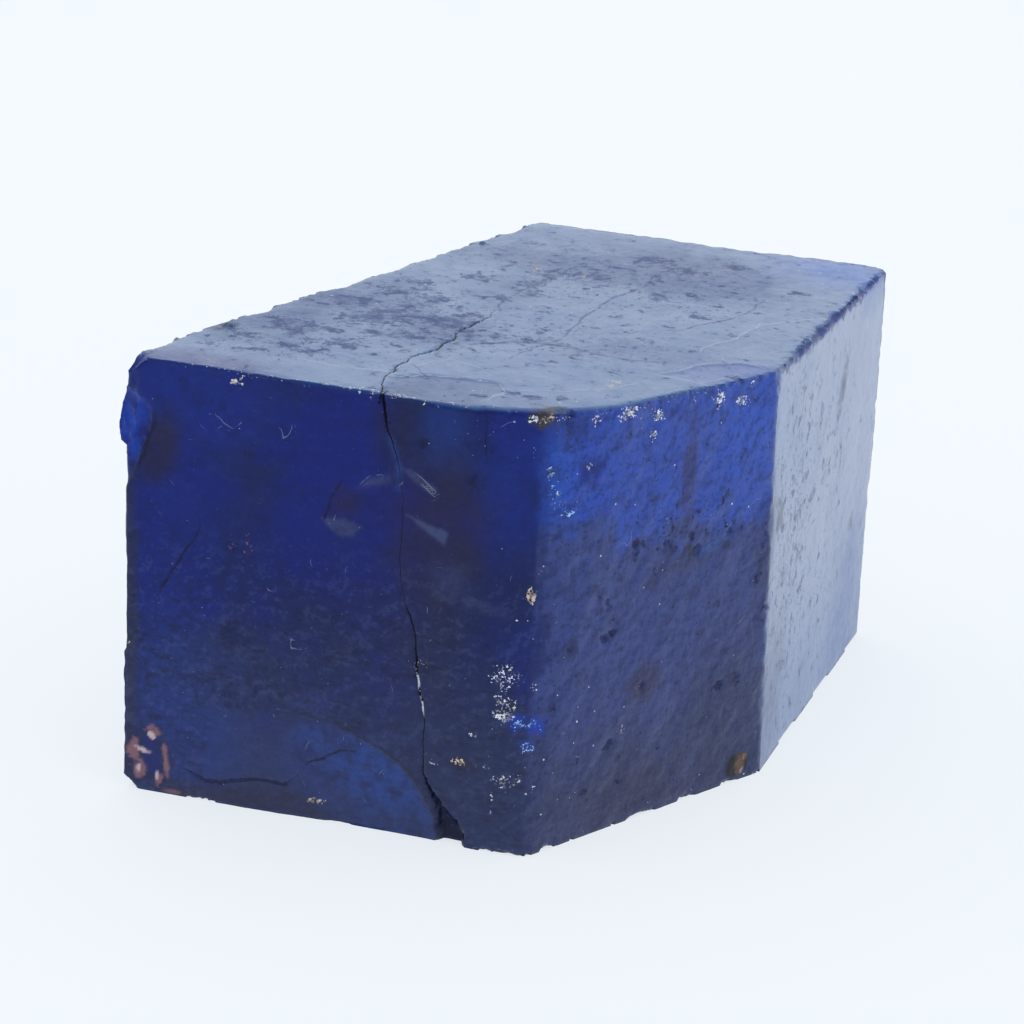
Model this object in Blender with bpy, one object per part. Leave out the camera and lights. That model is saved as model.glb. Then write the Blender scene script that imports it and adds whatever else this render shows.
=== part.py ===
"""Rough tanzanite: one crystal, sawn to a five-sided block and left unpolished.

The stone is one natural piece, so it is one solid. Four sawn sides, a broad cut
across one corner, a sawn top and a sawn base meet at lightly worn edges. The two
front sides run into each other over a rounded prow that tightens towards the
base. The left side is the crystal's own skin, with shallow upright flutes. An
open crack runs over the top and down the front to a broken foot, beside a wide
shell-shaped fracture. Chips, pits, two low lumps and one thin flake finish it.

Lengths below are millimetres; MM turns them into metres. The origin is the
middle of the base, +Z is up and +Y runs along the long side.
"""

import math
import random

import bmesh
import bpy
from mathutils import Matrix, Vector

MM = 0.001
NODE = "tanzanite_block"
SEED = 7

# Sawn faces: the direction each one faces, as azimuth from +X and elevation in
# degrees, and its distance from the origin.
FRONT_PLANE = (-89.8, -0.1, 16.34)
CORNER_PLANE = (-29.8, -1.2, 12.62)
RIGHT_PLANE = (-2.8, 0.9, 12.92)
BACK_PLANE = (91.2, -0.2, 16.05)
LEFT_PLANE = (164.8, -0.6, 8.75)
TOP_PLANE = (33.0, 89.36, 20.04)
BASE_PLANE = (0.0, -90.0, 0.0)
BLANK_SIZE = 60.0

# Rounded prow between the front and the corner cut.
PROW_RADIUS_TOP = 8.2
PROW_RADIUS_BASE = 1.0
PROW_STEPS = 9

EDGE_WEAR = 0.13
EDGE_WEAR_ANGLE = 25.0
SMOOTH_ANGLE = 22.0

# A scoop is the cap of an ellipsoid whose centre floats this share of its
# half-depth outside the stone.
SCOOP_LIFT = 0.6

CRACK_WIDTH = 0.16
CRACK_DEPTH = 0.9
CRACK_STAND_OFF = 0.12
GROOVE_END = 0.35
CRACK_ON_TOP = ((-2.0, -17.0), (-2.6, -13.2), (-2.3, -10.8), (-2.2, -8.6), (-2.3, -5.9),
                (-2.1, -4.2), (-1.9, -0.3), (-0.7, 5.6))
CRACK_ON_FRONT = ((-2.0, 20.8), (-2.0, 19.4), (-1.5, 17.7), (-1.1, 16.0), (-0.9, 13.8),
                  (-0.4, 11.1), (-0.1, 8.4), (0.4, 4.7), (0.5, 3.1), (0.9, 2.4), (1.6, 1.6))

# The shoulder on the left edge ends below in a ledge, and stands this far inside
# the front face, so that the two never share a plane.
SHOULDER_LEDGE_PLANE = (165.0, -62.0, -9.98)
LUMP_INSET = 0.03

# Where the corner cut meets the right side at the base, and how far it leans back.
RIGHT_EDGE_Y = -3.05
RIGHT_EDGE_LEAN = -0.073

STONE_COLOUR = (0.030, 0.045, 0.22, 1.0)
STONE_ROUGHNESS = 0.38


class SawnFace:
    """A flat sawn face: an outward normal and a distance from the origin."""

    def __init__(self, azimuth, elevation, distance):
        turn = math.radians(azimuth)
        rise = math.radians(elevation)
        flat = math.cos(rise)
        self.normal = Vector((flat * math.cos(turn), flat * math.sin(turn), math.sin(rise)))
        self.distance = distance

    def point(self, x=None, y=None, z=None):
        """Point on the face from two of its coordinates; the missing one is worked out."""
        known = [x, y, z]
        axis = known.index(None)
        known[axis] = 0.0
        rest = self.distance - self.normal.dot(Vector(known))
        known[axis] = rest / self.normal[axis]
        return Vector(known)


FRONT = SawnFace(*FRONT_PLANE)
CORNER = SawnFace(*CORNER_PLANE)
RIGHT = SawnFace(*RIGHT_PLANE)
BACK = SawnFace(*BACK_PLANE)
LEFT = SawnFace(*LEFT_PLANE)
TOP = SawnFace(*TOP_PLANE)
BASE = SawnFace(*BASE_PLANE)
SHOULDER_LEDGE = SawnFace(*SHOULDER_LEDGE_PLANE)


def clear_scene():
    """Remove every object of the starting scene."""
    for item in list(bpy.data.objects):
        bpy.data.objects.remove(item, do_unlink=True)


def stone_material():
    """Deep violet-blue stone with a dull sawn surface."""
    material = bpy.data.materials.new("tanzanite")
    material.use_nodes = True
    shader = material.node_tree.nodes["Principled BSDF"]
    shader.inputs["Base Color"].default_value = STONE_COLOUR
    shader.inputs["Roughness"].default_value = STONE_ROUGHNESS
    shader.inputs["Metallic"].default_value = 0.0
    return material


def new_object(name, bm, collection):
    """Turn a bmesh in millimetres into an object in metres."""
    bmesh.ops.recalc_face_normals(bm, faces=bm.faces)
    mesh = bpy.data.meshes.new(name)
    bm.to_mesh(mesh)
    bm.free()
    mesh.transform(Matrix.Scale(MM, 4))
    item = bpy.data.objects.new(name, mesh)
    collection.objects.link(item)
    return item


def new_cutter_set(name):
    """Collection whose members only shape the stone."""
    cutters = bpy.data.collections.new(name)
    bpy.context.scene.collection.children.link(cutters)
    return cutters


def hide_as_cutter(item):
    """Mark an object as a cutter, so that it isn't a piece of its own."""
    item.hide_render = True
    item.display_type = 'WIRE'


def saw(bm, face):
    """Saw the blank along a face and close the cut."""
    cut = bmesh.ops.bisect_plane(
        bm, geom=bm.verts[:] + bm.edges[:] + bm.faces[:], dist=1e-5,
        plane_co=face.normal * face.distance, plane_no=face.normal, clear_outer=True)
    rim = [part for part in cut["geom_cut"] if isinstance(part, bmesh.types.BMEdge)]
    if rim:
        bmesh.ops.holes_fill(bm, edges=rim, sides=0)


def prow_faces():
    """Narrow tangent faces that round the corner between the front and the corner cut."""
    start, end = FRONT_PLANE[0], CORNER_PLANE[0]
    height = TOP.distance
    centres = []
    for radius, level in ((PROW_RADIUS_BASE, 0.0), (PROW_RADIUS_TOP, height)):
        centres.append((centre_of_prow(radius, level), radius))
    (low, low_radius), (high, high_radius) = centres
    faces = []
    for step in range(1, PROW_STEPS):
        turn = math.radians(start + (end - start) * step / PROW_STEPS)
        flat = Vector((math.cos(turn), math.sin(turn), 0.0))
        reach_low = flat.dot(low) + low_radius
        reach_high = flat.dot(high) + high_radius
        rise = math.atan2(reach_low - reach_high, height)
        faces.append(SawnFace(math.degrees(turn), math.degrees(rise), reach_low * math.cos(rise)))
    return faces


def centre_of_prow(radius, level):
    """Centre of the circle that touches the front and the corner cut at a height."""
    first, second = FRONT.normal, CORNER.normal
    first_reach = FRONT.distance - first.z * level - radius
    second_reach = CORNER.distance - second.z * level - radius
    spread = first.x * second.y - first.y * second.x
    return Vector(((first_reach * second.y - second_reach * first.y) / spread,
                   (second_reach * first.x - first_reach * second.x) / spread, 0.0))


def sawn_block():
    """The bare block: a cube sawn along every face, with worn edges."""
    bm = bmesh.new()
    bmesh.ops.create_cube(bm, size=BLANK_SIZE)
    for face in (FRONT, CORNER, RIGHT, BACK, LEFT, TOP, BASE, *prow_faces()):
        saw(bm, face)
    bmesh.ops.dissolve_limit(bm, angle_limit=math.radians(0.1), verts=bm.verts, edges=bm.edges)
    worn = [edge for edge in bm.edges
            if edge.calc_face_angle(0.0) > math.radians(EDGE_WEAR_ANGLE)]
    bmesh.ops.bevel(bm, geom=worn, offset=EDGE_WEAR, segments=2, profile=0.5,
                    affect='EDGES', material=-1)
    return bm


def frame_on(normal, along):
    """Rotation whose Z is the normal and whose X follows a direction in the surface."""
    side = normal.cross(along).normalized()
    forward = side.cross(normal).normalized()
    return Matrix((forward, side, normal)).transposed().to_4x4()


def ellipsoid(name, spot, normal, along, half_sizes, detail, collection, trims=()):
    """Ellipsoid that shapes the stone, turned to a surface and sawn off at the trims."""
    bm = bmesh.new()
    place = Matrix.Translation(spot) @ frame_on(normal, along) @ Matrix.Diagonal((*half_sizes, 1.0))
    bmesh.ops.create_icosphere(bm, subdivisions=detail, radius=1.0, matrix=place)
    for face in trims:
        saw(bm, face)
    item = new_object(name, bm, collection)
    hide_as_cutter(item)
    return item


def scoop(name, spot, normal, along, size, collection, detail=2):
    """Shallow bowl in a surface; size is its length, width and depth."""
    length, width, depth = size
    spread = math.sqrt(1.0 - SCOOP_LIFT ** 2)
    half_depth = depth / (1.0 - SCOOP_LIFT)
    half_sizes = (length / 2 / spread, width / 2 / spread, half_depth)
    centre = spot + normal * half_depth * SCOOP_LIFT
    return ellipsoid(name, centre, normal, along, half_sizes, detail, collection)


def edge_scoop(name, spot, first, second, size, collection, detail=2):
    """Chip on the edge between two faces."""
    outward = (first.normal + second.normal).normalized()
    along = first.normal.cross(second.normal).normalized()
    return scoop(name, spot, outward, along, size, collection, detail)


def wedge_groove(name, face, path, width, depth, collection):
    """V-shaped groove along a path of points on a face, pinched at its far end."""
    bm = bmesh.new()
    section = list(bmesh.ops.create_circle(bm, segments=3, radius=1.0)["verts"])
    rim = bm.edges[:]
    for index, spot in enumerate(path):
        before = path[max(index - 1, 0)]
        after = path[min(index + 1, len(path) - 1)]
        side = face.normal.cross(after - before).normalized()
        taper = GROOVE_END if index == len(path) - 1 else 1.0
        half_width = width / 2 * taper * (1.0 + CRACK_STAND_OFF / depth)
        lifted = spot + face.normal * CRACK_STAND_OFF
        if index:
            grown = bmesh.ops.extrude_edge_only(bm, edges=rim)["geom"]
            rim = [part for part in grown if isinstance(part, bmesh.types.BMEdge)]
            section = following_corners(section, grown)
        section[0].co = lifted + side * half_width
        section[1].co = lifted - side * half_width
        section[2].co = spot - face.normal * depth * taper
    bmesh.ops.holes_fill(bm, edges=bm.edges, sides=0)
    item = new_object(name, bm, collection)
    hide_as_cutter(item)
    return item


def following_corners(section, grown):
    """Corners of an extruded section in the order of the section it grew from."""
    corners = [part for part in grown if isinstance(part, bmesh.types.BMVert)]
    return [min(corners, key=lambda vert: (vert.co - old.co).length) for old in section]


def crack_cutters(cutters):
    """The open crack over the top and down the front, and its broken foot."""
    top_path = [TOP.point(x=x, y=y) for x, y in CRACK_ON_TOP]
    front_path = [FRONT.point(x=x, z=z) for x, z in CRACK_ON_FRONT]
    wedge_groove("crack_top", TOP, top_path, CRACK_WIDTH, CRACK_DEPTH, cutters)
    wedge_groove("crack_front", FRONT, front_path, CRACK_WIDTH, CRACK_DEPTH, cutters)
    foot = FRONT.point(x=1.75, z=0.9)
    leaning = Vector((0.45, 0.0, -0.9))
    scoop("crack_foot", foot, FRONT.normal, leaning, (3.4, 1.1, 0.8), cutters)


def fracture_cutters(cutters):
    """Shell-shaped fracture at the foot of the front, deeper towards the crack."""
    across = Vector((1.0, 0.0, -0.25))
    scoop("shell_wide", FRONT.point(x=-2.6, z=0.0), FRONT.normal, across, (9.6, 8.6, 0.36),
          cutters, detail=3)
    scoop("shell_deep", FRONT.point(x=0.3, z=-0.3), FRONT.normal, across, (5.2, 4.6, 0.34),
          cutters, detail=3)


def corner_chip_cutters(cutters):
    """Broken ends of the upright edge at the front left."""
    upright = Vector((0.0, 0.0, 1.0))
    outward = Vector((-0.26, -0.96, 0.08)).normalized()
    scoop("left_corner_chip", Vector((-13.95, -16.34, 17.3)), outward, upright,
          (6.2, 5.0, 0.36), cutters, detail=3)
    crown = Vector((-0.55, -0.55, 0.62)).normalized()
    scoop("left_crown_chip", Vector((-13.6, -16.3, 20.2)), crown, Vector((1.0, -1.0, 0.0)),
          (2.8, 2.8, 0.55), cutters)
    foot = Vector((-0.6, -0.6, -0.5)).normalized()
    scoop("left_foot_chip", Vector((-13.45, -16.3, 0.0)), foot, Vector((1.0, -1.0, 0.0)),
          (1.6, 1.6, 0.34), cutters)


def edge_chip_cutters(cutters):
    """Chips along the worn edges of the top and the base."""
    for index, (y, size) in enumerate(((13.6, 1.5), (6.1, 1.3), (3.0, 1.5), (-0.9, 1.9),
                                       (-7.0, 1.2), (-14.4, 1.8))):
        spot = LEFT.point(y=y, z=TOP.point(x=-8.0, y=y).z)
        edge_scoop(f"left_edge_chip_{index}", spot, LEFT, TOP, (size * 1.5, size * 0.8, 0.24),
                   cutters)
    picker = random.Random(SEED)
    for index in range(14):
        y = -3.6 + 18.4 * (index + 0.3 * picker.random()) / 13
        spot = RIGHT.point(y=y, z=TOP.point(x=13.0, y=y).z)
        size = picker.uniform(0.9, 1.7)
        edge_scoop(f"right_edge_chip_{index}", spot, RIGHT, TOP, (size * 1.3, size * 0.7, 0.34),
                   cutters)
    for index, x in enumerate((-9.6, -3.3, 3.4, 4.6)):
        spot = FRONT.point(x=x, z=0.0)
        edge_scoop(f"front_foot_chip_{index}", spot, FRONT, BASE, (1.6, 0.7, 0.28), cutters)
    for index, y in enumerate((-15.0, -10.0, -7.3, -4.9)):
        spot = CORNER.point(y=y, z=0.0)
        edge_scoop(f"corner_foot_chip_{index}", spot, CORNER, BASE, (1.6, 0.8, 0.3), cutters)
    for index, z in enumerate((18.9, 15.1, 11.3, 7.9, 3.7)):
        spot = CORNER.point(y=RIGHT_EDGE_Y + RIGHT_EDGE_LEAN * z, z=z)
        edge_scoop(f"right_corner_chip_{index}", spot, CORNER, RIGHT, (2.2, 0.5, 0.2), cutters)


def flake_cutters(cutters):
    """Thin flakes lifted off the top beside the front edge and the right edge."""
    scoop("front_flake", TOP.point(x=0.4, y=-14.2), TOP.normal, Vector((1.0, 0.35, 0.0)),
          (6.0, 2.6, 0.16), cutters)
    scoop("right_flake", TOP.point(x=10.6, y=-5.4), TOP.normal, Vector((1.0, 1.3, 0.0)),
          (5.4, 2.4, 0.15), cutters)
    scoop("prow_pit", TOP.point(x=5.2, y=-15.3), (TOP.normal + CORNER.normal).normalized(),
          Vector((1.0, 0.5, 0.0)), (1.3, 0.9, 0.3), cutters)


def flute_cutters(cutters):
    """Shallow upright flutes on the crystal's own left side."""
    upright = Vector((0.0, 0.0, 1.0))
    for index, (y, width, depth) in enumerate(((-10.6, 4.4, 0.22), (-5.2, 3.8, 0.30),
                                               (-0.9, 3.2, 0.22), (3.6, 4.2, 0.32),
                                               (8.2, 3.4, 0.22), (12.6, 3.8, 0.28))):
        spot = LEFT.point(y=y, z=9.0 + 2.0 * math.sin(index * 2.1))
        scoop(f"left_flute_{index}", spot, LEFT.normal, upright, (21.0, width, depth), cutters)
    scoop("back_hollow_high", BACK.point(x=6.4, z=13.0), BACK.normal, Vector((1.0, 0.0, 0.4)),
          (11.0, 8.0, 0.2), cutters, detail=3)
    scoop("back_hollow_low", BACK.point(x=1.2, z=8.4), BACK.normal, Vector((1.0, 0.0, -0.7)),
          (9.0, 6.0, 0.18), cutters, detail=3)


def pit_cutters(cutters):
    """Small natural pits on the sawn faces."""
    picker = random.Random(SEED + 1)
    places = [CORNER.point(y=y, z=z) for y, z in (
        (-12.8, 9.5), (-14.6, 9.4), (-10.6, 6.6), (-11.6, 13.4), (-10.1, 13.1), (-8.2, 12.4),
        (-12.9, 11.0), (-6.4, 12.9), (-12.2, 4.2), (-6.0, 5.4))]
    pit_row("corner_pit", CORNER, places, Vector((0.5, 0.85, 0.5)), picker, cutters)
    places = [FRONT.point(x=x, z=z) for x, z in (
        (-9.4, 5.4), (-7.6, 6.9), (-8.9, 8.1), (-6.3, 5.9), (1.9, 17.9), (3.6, 13.9))]
    pit_row("front_pit", FRONT, places, Vector((1.0, 0.0, 0.2)), picker, cutters)
    places = [TOP.point(x=x, y=y) for x, y in (
        (-3.4, -6.2), (-1.2, -4.4), (1.6, -3.2), (-4.6, 1.4), (2.2, 4.8), (5.8, 3.6), (7.9, 8.2),
        (-8.2, -9.4), (3.9, -9.3), (8.4, -1.6), (0.4, 11.2), (-9.6, -13.0))]
    pit_row("top_pit", TOP, places, Vector((1.0, 0.5, 0.0)), picker, cutters)
    places = [RIGHT.point(y=y, z=z) for y, z in (
        (0.6, 13.8), (2.4, 8.2), (5.8, 15.9), (8.8, 11.2), (11.2, 6.1), (4.9, 4.4))]
    pit_row("right_pit", RIGHT, places, Vector((0.0, 0.35, 1.0)), picker, cutters)


def pit_row(name, face, places, along, picker, cutters):
    """One pit at each place on a face."""
    for index, spot in enumerate(places):
        length = picker.uniform(0.6, 1.05)
        size = (length, length * 0.62, 0.16)
        scoop(f"{name}_{index}", spot, face.normal, along, size, cutters, detail=1)


def lump_shapes(lumps):
    """Low lumps that stand proud of the left edge."""
    upright = Vector((0.0, 0.0, 1.0))
    flush = SawnFace(FRONT_PLANE[0], FRONT_PLANE[1], FRONT_PLANE[2] - LUMP_INSET)
    ellipsoid("left_shoulder", LEFT.point(y=-16.0, z=16.9) - LEFT.normal * 1.0, LEFT.normal,
              upright, (2.8, 2.4, 1.56), 3, lumps, trims=(flush, SHOULDER_LEDGE))
    outward = (LEFT.normal + TOP.normal).normalized()
    along = LEFT.normal.cross(TOP.normal)
    ellipsoid("left_edge_lump", LEFT.point(y=-9.8, z=20.0) - outward * 0.42, outward, along,
              (1.0, 0.75, 0.64), 2, lumps)
    ellipsoid("back_edge_lump", LEFT.point(y=10.4, z=19.95) - outward * 0.5, outward, along,
              (0.9, 0.6, 0.58), 2, lumps)


def add_booleans(item, operation, collection):
    """Exact Boolean of the stone with each member of a collection in turn."""
    for tool in collection.objects:
        modifier = item.modifiers.new(tool.name, 'BOOLEAN')
        modifier.operation = operation
        modifier.object = tool
        modifier.solver = 'EXACT'


def build_stone():
    """The finished stone: the sawn block, joined with its lumps and cut by its cutters."""
    lumps = new_cutter_set("lumps")
    cutters = new_cutter_set("cutters")
    stone = new_object(NODE, sawn_block(), bpy.context.scene.collection)
    stone.data.materials.append(stone_material())
    lump_shapes(lumps)
    flute_cutters(cutters)
    fracture_cutters(cutters)
    corner_chip_cutters(cutters)
    edge_chip_cutters(cutters)
    flake_cutters(cutters)
    pit_cutters(cutters)
    crack_cutters(cutters)
    stone.data.shade_smooth()
    stone.data.set_sharp_from_angle(angle=math.radians(SMOOTH_ANGLE))
    add_booleans(stone, 'UNION', lumps)
    add_booleans(stone, 'DIFFERENCE', cutters)


clear_scene()
build_stone()
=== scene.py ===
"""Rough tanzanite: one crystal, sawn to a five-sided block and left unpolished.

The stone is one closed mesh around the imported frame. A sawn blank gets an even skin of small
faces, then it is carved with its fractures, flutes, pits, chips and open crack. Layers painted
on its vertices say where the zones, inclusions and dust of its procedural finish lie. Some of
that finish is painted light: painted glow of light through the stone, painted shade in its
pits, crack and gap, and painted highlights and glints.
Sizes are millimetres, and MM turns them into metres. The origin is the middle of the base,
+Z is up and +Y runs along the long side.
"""

import logging
import math
import random
from dataclasses import dataclass
from enum import Enum

import bmesh
import bpy
import numpy as np
from mathutils import Euler, Matrix, Vector, noise


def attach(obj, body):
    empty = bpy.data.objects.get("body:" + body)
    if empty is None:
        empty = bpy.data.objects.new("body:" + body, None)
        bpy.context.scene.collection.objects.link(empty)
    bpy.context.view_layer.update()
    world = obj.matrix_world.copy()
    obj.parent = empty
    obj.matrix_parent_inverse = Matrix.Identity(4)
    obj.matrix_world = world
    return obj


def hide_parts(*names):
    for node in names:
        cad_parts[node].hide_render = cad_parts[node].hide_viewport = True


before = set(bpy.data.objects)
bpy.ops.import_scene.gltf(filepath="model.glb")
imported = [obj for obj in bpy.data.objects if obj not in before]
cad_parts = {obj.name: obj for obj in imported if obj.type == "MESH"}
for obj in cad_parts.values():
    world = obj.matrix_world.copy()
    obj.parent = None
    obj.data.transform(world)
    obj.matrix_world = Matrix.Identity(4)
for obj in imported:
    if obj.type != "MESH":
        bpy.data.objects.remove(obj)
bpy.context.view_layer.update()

MM = 0.001
CAD_NODE = "tanzanite_block"
BODY = "root"
UP = Vector((0.0, 0.0, 1.0))
FAR = 9.0

Array = np.ndarray
Triple = tuple[float, float, float]
Colour = tuple[float, float, float, float]

log = logging.getLogger("tanzanite")


# ---------------------------------------------------------------- shape of the stone


def soft_step(share: Array) -> Array:
    """Smooth step of values, held between 0 and 1."""
    share = np.clip(share, 0.0, 1.0)
    return share * share * (3.0 - 2.0 * share)


@dataclass(frozen=True)
class SawnFace:
    """A flat face: the way it looks, in degrees, and its distance from the origin."""

    azimuth: float
    elevation: float
    distance: float

    @property
    def normal(self) -> Vector:
        """Outward unit normal.

        Returns:
            The normal.
        """
        turn, rise = math.radians(self.azimuth), math.radians(self.elevation)
        flat = math.cos(rise)
        return Vector((flat * math.cos(turn), flat * math.sin(turn), math.sin(rise)))

    def point(self, x: float | None = None, y: float | None = None, z: float | None = None) -> Vector:
        """Point on the face from two of its coordinates.

        Args:
            x, y, z: two of the three; the one left out is worked out.

        Returns:
            The point.
        """
        known = [x, y, z]
        axis = known.index(None)
        known[axis] = 0.0
        known[axis] = (self.distance - self.normal.dot(Vector(known))) / self.normal[axis]
        return Vector(known)

    def height_of(self, points: Array) -> Array:
        """Signed distance of points outside the face."""
        return points @ np.array(self.normal) - self.distance


class Side(Enum):
    """The faces of the block."""

    FRONT = SawnFace(-89.8, -0.1, 16.34)
    CORNER = SawnFace(-29.8, -1.2, 12.62)
    RIGHT = SawnFace(-2.8, 0.9, 12.92)
    BACK = SawnFace(91.2, -0.2, 16.05)
    LEFT = SawnFace(164.8, -0.6, 8.75)
    TOP = SawnFace(33.0, 89.36, 20.04)
    BASE = SawnFace(0.0, -90.0, 0.0)

    @property
    def axes(self) -> tuple[int, int]:
        """The two coordinates that places on the face are given in."""
        return (0, 1) if self is Side.TOP else (1, 2) if self is Side.CORNER else (0, 2)


@dataclass
class Skin:
    """Points of a mesh, one row for each, with their normals and a slow and a quick noise there."""

    points: Array
    normals: Array
    mid: Array
    fine: Array

    @staticmethod
    def of(mesh: bpy.types.Mesh, unit: float) -> "Skin":
        """Read a mesh.

        Args:
            mesh: the mesh.
            unit: length of a millimetre in it.

        Returns:
            Its skin.
        """
        count = len(mesh.vertices)
        points, normals = np.empty(count * 3), np.empty(count * 3)
        mesh.vertices.foreach_get("co", points)
        mesh.vertices.foreach_get("normal", normals)
        points = points.reshape(-1, 3) / unit
        mid, fine = np.empty(count), np.empty(count)
        for index, spot in enumerate(points):
            here = Vector(spot)
            mid[index] = noise.fractal(here * 0.55, 0.8, 2.2, 3) * 0.5
            fine[index] = noise.fractal(here * 2.6, 0.7, 2.3, 3) * 0.5
        return Skin(points, normals.reshape(-1, 3), mid, fine)


def write_mark(mesh: bpy.types.Mesh, name: str, values: Array) -> None:
    """Keep a value for each vertex as an attribute of the mesh.

    Args:
        mesh: the mesh.
        name: the attribute's name.
        values: one value, or one row of red, green, blue and alpha, for each vertex.
    """
    kind, field_name = ('FLOAT_COLOR', "color") if values.ndim == 2 else ('FLOAT', "value")
    layer = mesh.attributes.new(name, kind, 'POINT')
    layer.data.foreach_set(field_name, values.astype(np.float32).ravel())


@dataclass(frozen=True)
class Bowl:
    """Shallow ellipsoid bowl in the surface of the stone.

    Attributes:
        spot: point on the surface.
        outward: the way the bowl opens.
        along: direction of its length.
        length, width, depth: its size at the surface.
    """

    spot: Vector
    outward: Vector
    along: Vector
    length: float
    width: float
    depth: float

    LIFT = 0.6

    def shape(self, points: Array, stray: Array) -> Array:
        """Move the points that lie in the bowl on to its floor.

        Args:
            points: coordinates, changed in place.
            stray: how far the outline strays at each point.

        Returns:
            How far each point has moved.
        """
        normal = self.outward.normalized()
        side = normal.cross(self.along).normalized()
        forward = side.cross(normal)
        spread = math.sqrt(1.0 - self.LIFT ** 2)
        tall = self.depth / (1.0 - self.LIFT)
        offset = points - np.array(self.spot + normal * tall * self.LIFT)
        flat = ((offset @ np.array(forward)) / (self.length / 2 / spread)) ** 2
        flat += ((offset @ np.array(side)) / (self.width / 2 / spread)) ** 2
        flat = np.clip(flat + stray, 0.0, None)
        level = offset @ np.array(normal)
        floor = -tall * np.sqrt(np.clip(1.0 - flat, 0.0, None))
        near = (flat < 1.0) & (np.abs(level) < tall)
        move = np.where(near & (level > floor), floor - level, 0.0)
        points += move[:, None] * np.array(normal)
        return np.abs(move)


@dataclass(frozen=True)
class Lump:
    """Ellipsoid that is part of the stone, sawn off at some faces.

    Attributes:
        centre: its middle.
        outward, along: its shortest and its longest direction.
        half_sizes: half its length, width and height.
        trims: the faces it is sawn along.
    """

    centre: Vector
    outward: Vector
    along: Vector
    half_sizes: Triple
    trims: tuple[SawnFace, ...] = ()

    def join(self, bm: bmesh.types.BMesh) -> None:
        """Add the lump to a mesh as a closed shell of its own.

        Args:
            bm: the mesh.
        """
        side = self.outward.cross(self.along).normalized()
        turn = Matrix((side.cross(self.outward), side, self.outward)).transposed().to_4x4()
        place = Matrix.Translation(self.centre) @ turn @ Matrix.Diagonal((*self.half_sizes, 1.0))
        made = bmesh.ops.create_icosphere(bm, subdivisions=4, radius=1.0, matrix=place)["verts"]
        for face in self.trims:
            parts = [part for vert in made for part in (vert, *vert.link_edges, *vert.link_faces)]
            parts = list(dict.fromkeys(parts))
            cut = saw(bm, face.normal * face.distance, face.normal, parts)
            filled = fill_cut(bm, cut)
            made = [part for part in cut["geom"] if isinstance(part, bmesh.types.BMVert)]
            made += [vert for item in filled for vert in item.verts if vert not in made]


def saw(bm: bmesh.types.BMesh, spot: Vector, normal: Vector, parts: list) -> dict:
    """Cut off what lies outside a plane.

    Args:
        bm: the mesh.
        spot, normal: a point on the plane and its outward normal.
        parts: the vertices, edges and faces to cut.

    Returns:
        What the operator made.
    """
    return bmesh.ops.bisect_plane(bm, geom=parts, dist=1e-5, plane_co=spot, plane_no=normal,
                                  clear_outer=True)


def fill_cut(bm: bmesh.types.BMesh, cut: dict) -> list[bmesh.types.BMFace]:
    """Close the mesh along a cut.

    Args:
        bm: the mesh.
        cut: what the saw made.

    Returns:
        The new faces.
    """
    rim = [part for part in cut["geom_cut"] if isinstance(part, bmesh.types.BMEdge)]
    return bmesh.ops.holes_fill(bm, edges=rim, sides=0)["faces"] if rim else []


@dataclass(frozen=True)
class Line:
    """Path of a crack, a seam or a ridge on one face.

    Attributes:
        side: the face it runs on.
        depth: depth of its groove; a ridge has a depth below nought.
        path: for each corner in turn, its two coordinates and the width there.
        waver: how far the path strays between corners, as a share of a span.
    """

    side: Side
    depth: float
    path: tuple[float, ...]
    waver: float = 0.09

    HALVINGS = 3
    BAND = 0.45

    def fine_path(self) -> Array:
        """Halve the spans of the path a few times and push their middles a little aside.

        Returns:
            A row for each corner: its two coordinates and the width there.
        """
        spots = list(np.reshape(self.path, (-1, 3)))
        picker = random.Random(len(spots) * 31)
        for _ in range(self.HALVINGS):
            grown = [spots[0]]
            for before, after in zip(spots, spots[1:]):
                span = after - before
                push = np.array((-span[1], span[0], 0.0)) * picker.uniform(-1.0, 1.0)
                grown += [(before + after) / 2 + push * self.waver, after]
            spots = grown
        return np.array(spots)

    def measure(self, points: Array) -> tuple[Array, Array]:
        """Distance of points from the line, large away from its face.

        Args:
            points: their coordinates.

        Returns:
            The distance, with a sign that changes from side to side, and the width there.
        """
        flat = points[:, self.side.axes]
        best = np.full(len(points), FAR)
        width = np.full(len(points), 0.1)
        path = self.fine_path()
        for start, end in zip(path, path[1:]):
            span = end[:2] - start[:2]
            share = np.clip((flat - start[:2]) @ span / (span @ span), 0.0, 1.0)
            away = flat - (start[:2] + share[:, None] * span)
            reach = np.hypot(away[:, 0], away[:, 1])
            turn = np.where(span[0] * away[:, 1] < span[1] * away[:, 0], -1.0, 1.0)
            closer = reach < np.abs(best)
            best[closer] = (reach * turn)[closer]
            width[closer] = (start[2] + (end[2] - start[2]) * share)[closer]
        best[np.abs(self.side.value.height_of(points)) > self.BAND] = FAR
        return best, width


@dataclass(frozen=True)
class LineSet:
    """Lines of one kind, kept as two attributes of the mesh: name and name_near."""

    name: str
    lines: tuple[Line, ...]

    def carve(self, points: Array) -> dict[str, Array]:
        """Sink the lines into the surface.

        Args:
            points: coordinates, changed in place.

        Returns:
            The set's attributes: distance from the nearest line as a share of its width, with
            a sign, and the bare distance.
        """
        measured = [line.measure(points) for line in self.lines]
        share, near = np.full(len(points), FAR), np.full(len(points), FAR)
        for line, (away, width) in zip(self.lines, measured):
            sunk = np.clip(1.3 - np.abs(away) / (width * 0.6), 0.0, 1.0)
            sunk *= np.clip(width / 0.13, 0.0, 1.2) ** 1.5 * line.depth
            points -= np.array(line.side.value.normal) * sunk[:, None]
            closer = np.abs(away / width) < np.abs(share)
            share[closer] = (away / width)[closer]
            near = np.minimum(near, np.abs(away))
        return {self.name: np.clip(share, -FAR, FAR), self.name + "_near": near}


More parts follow.
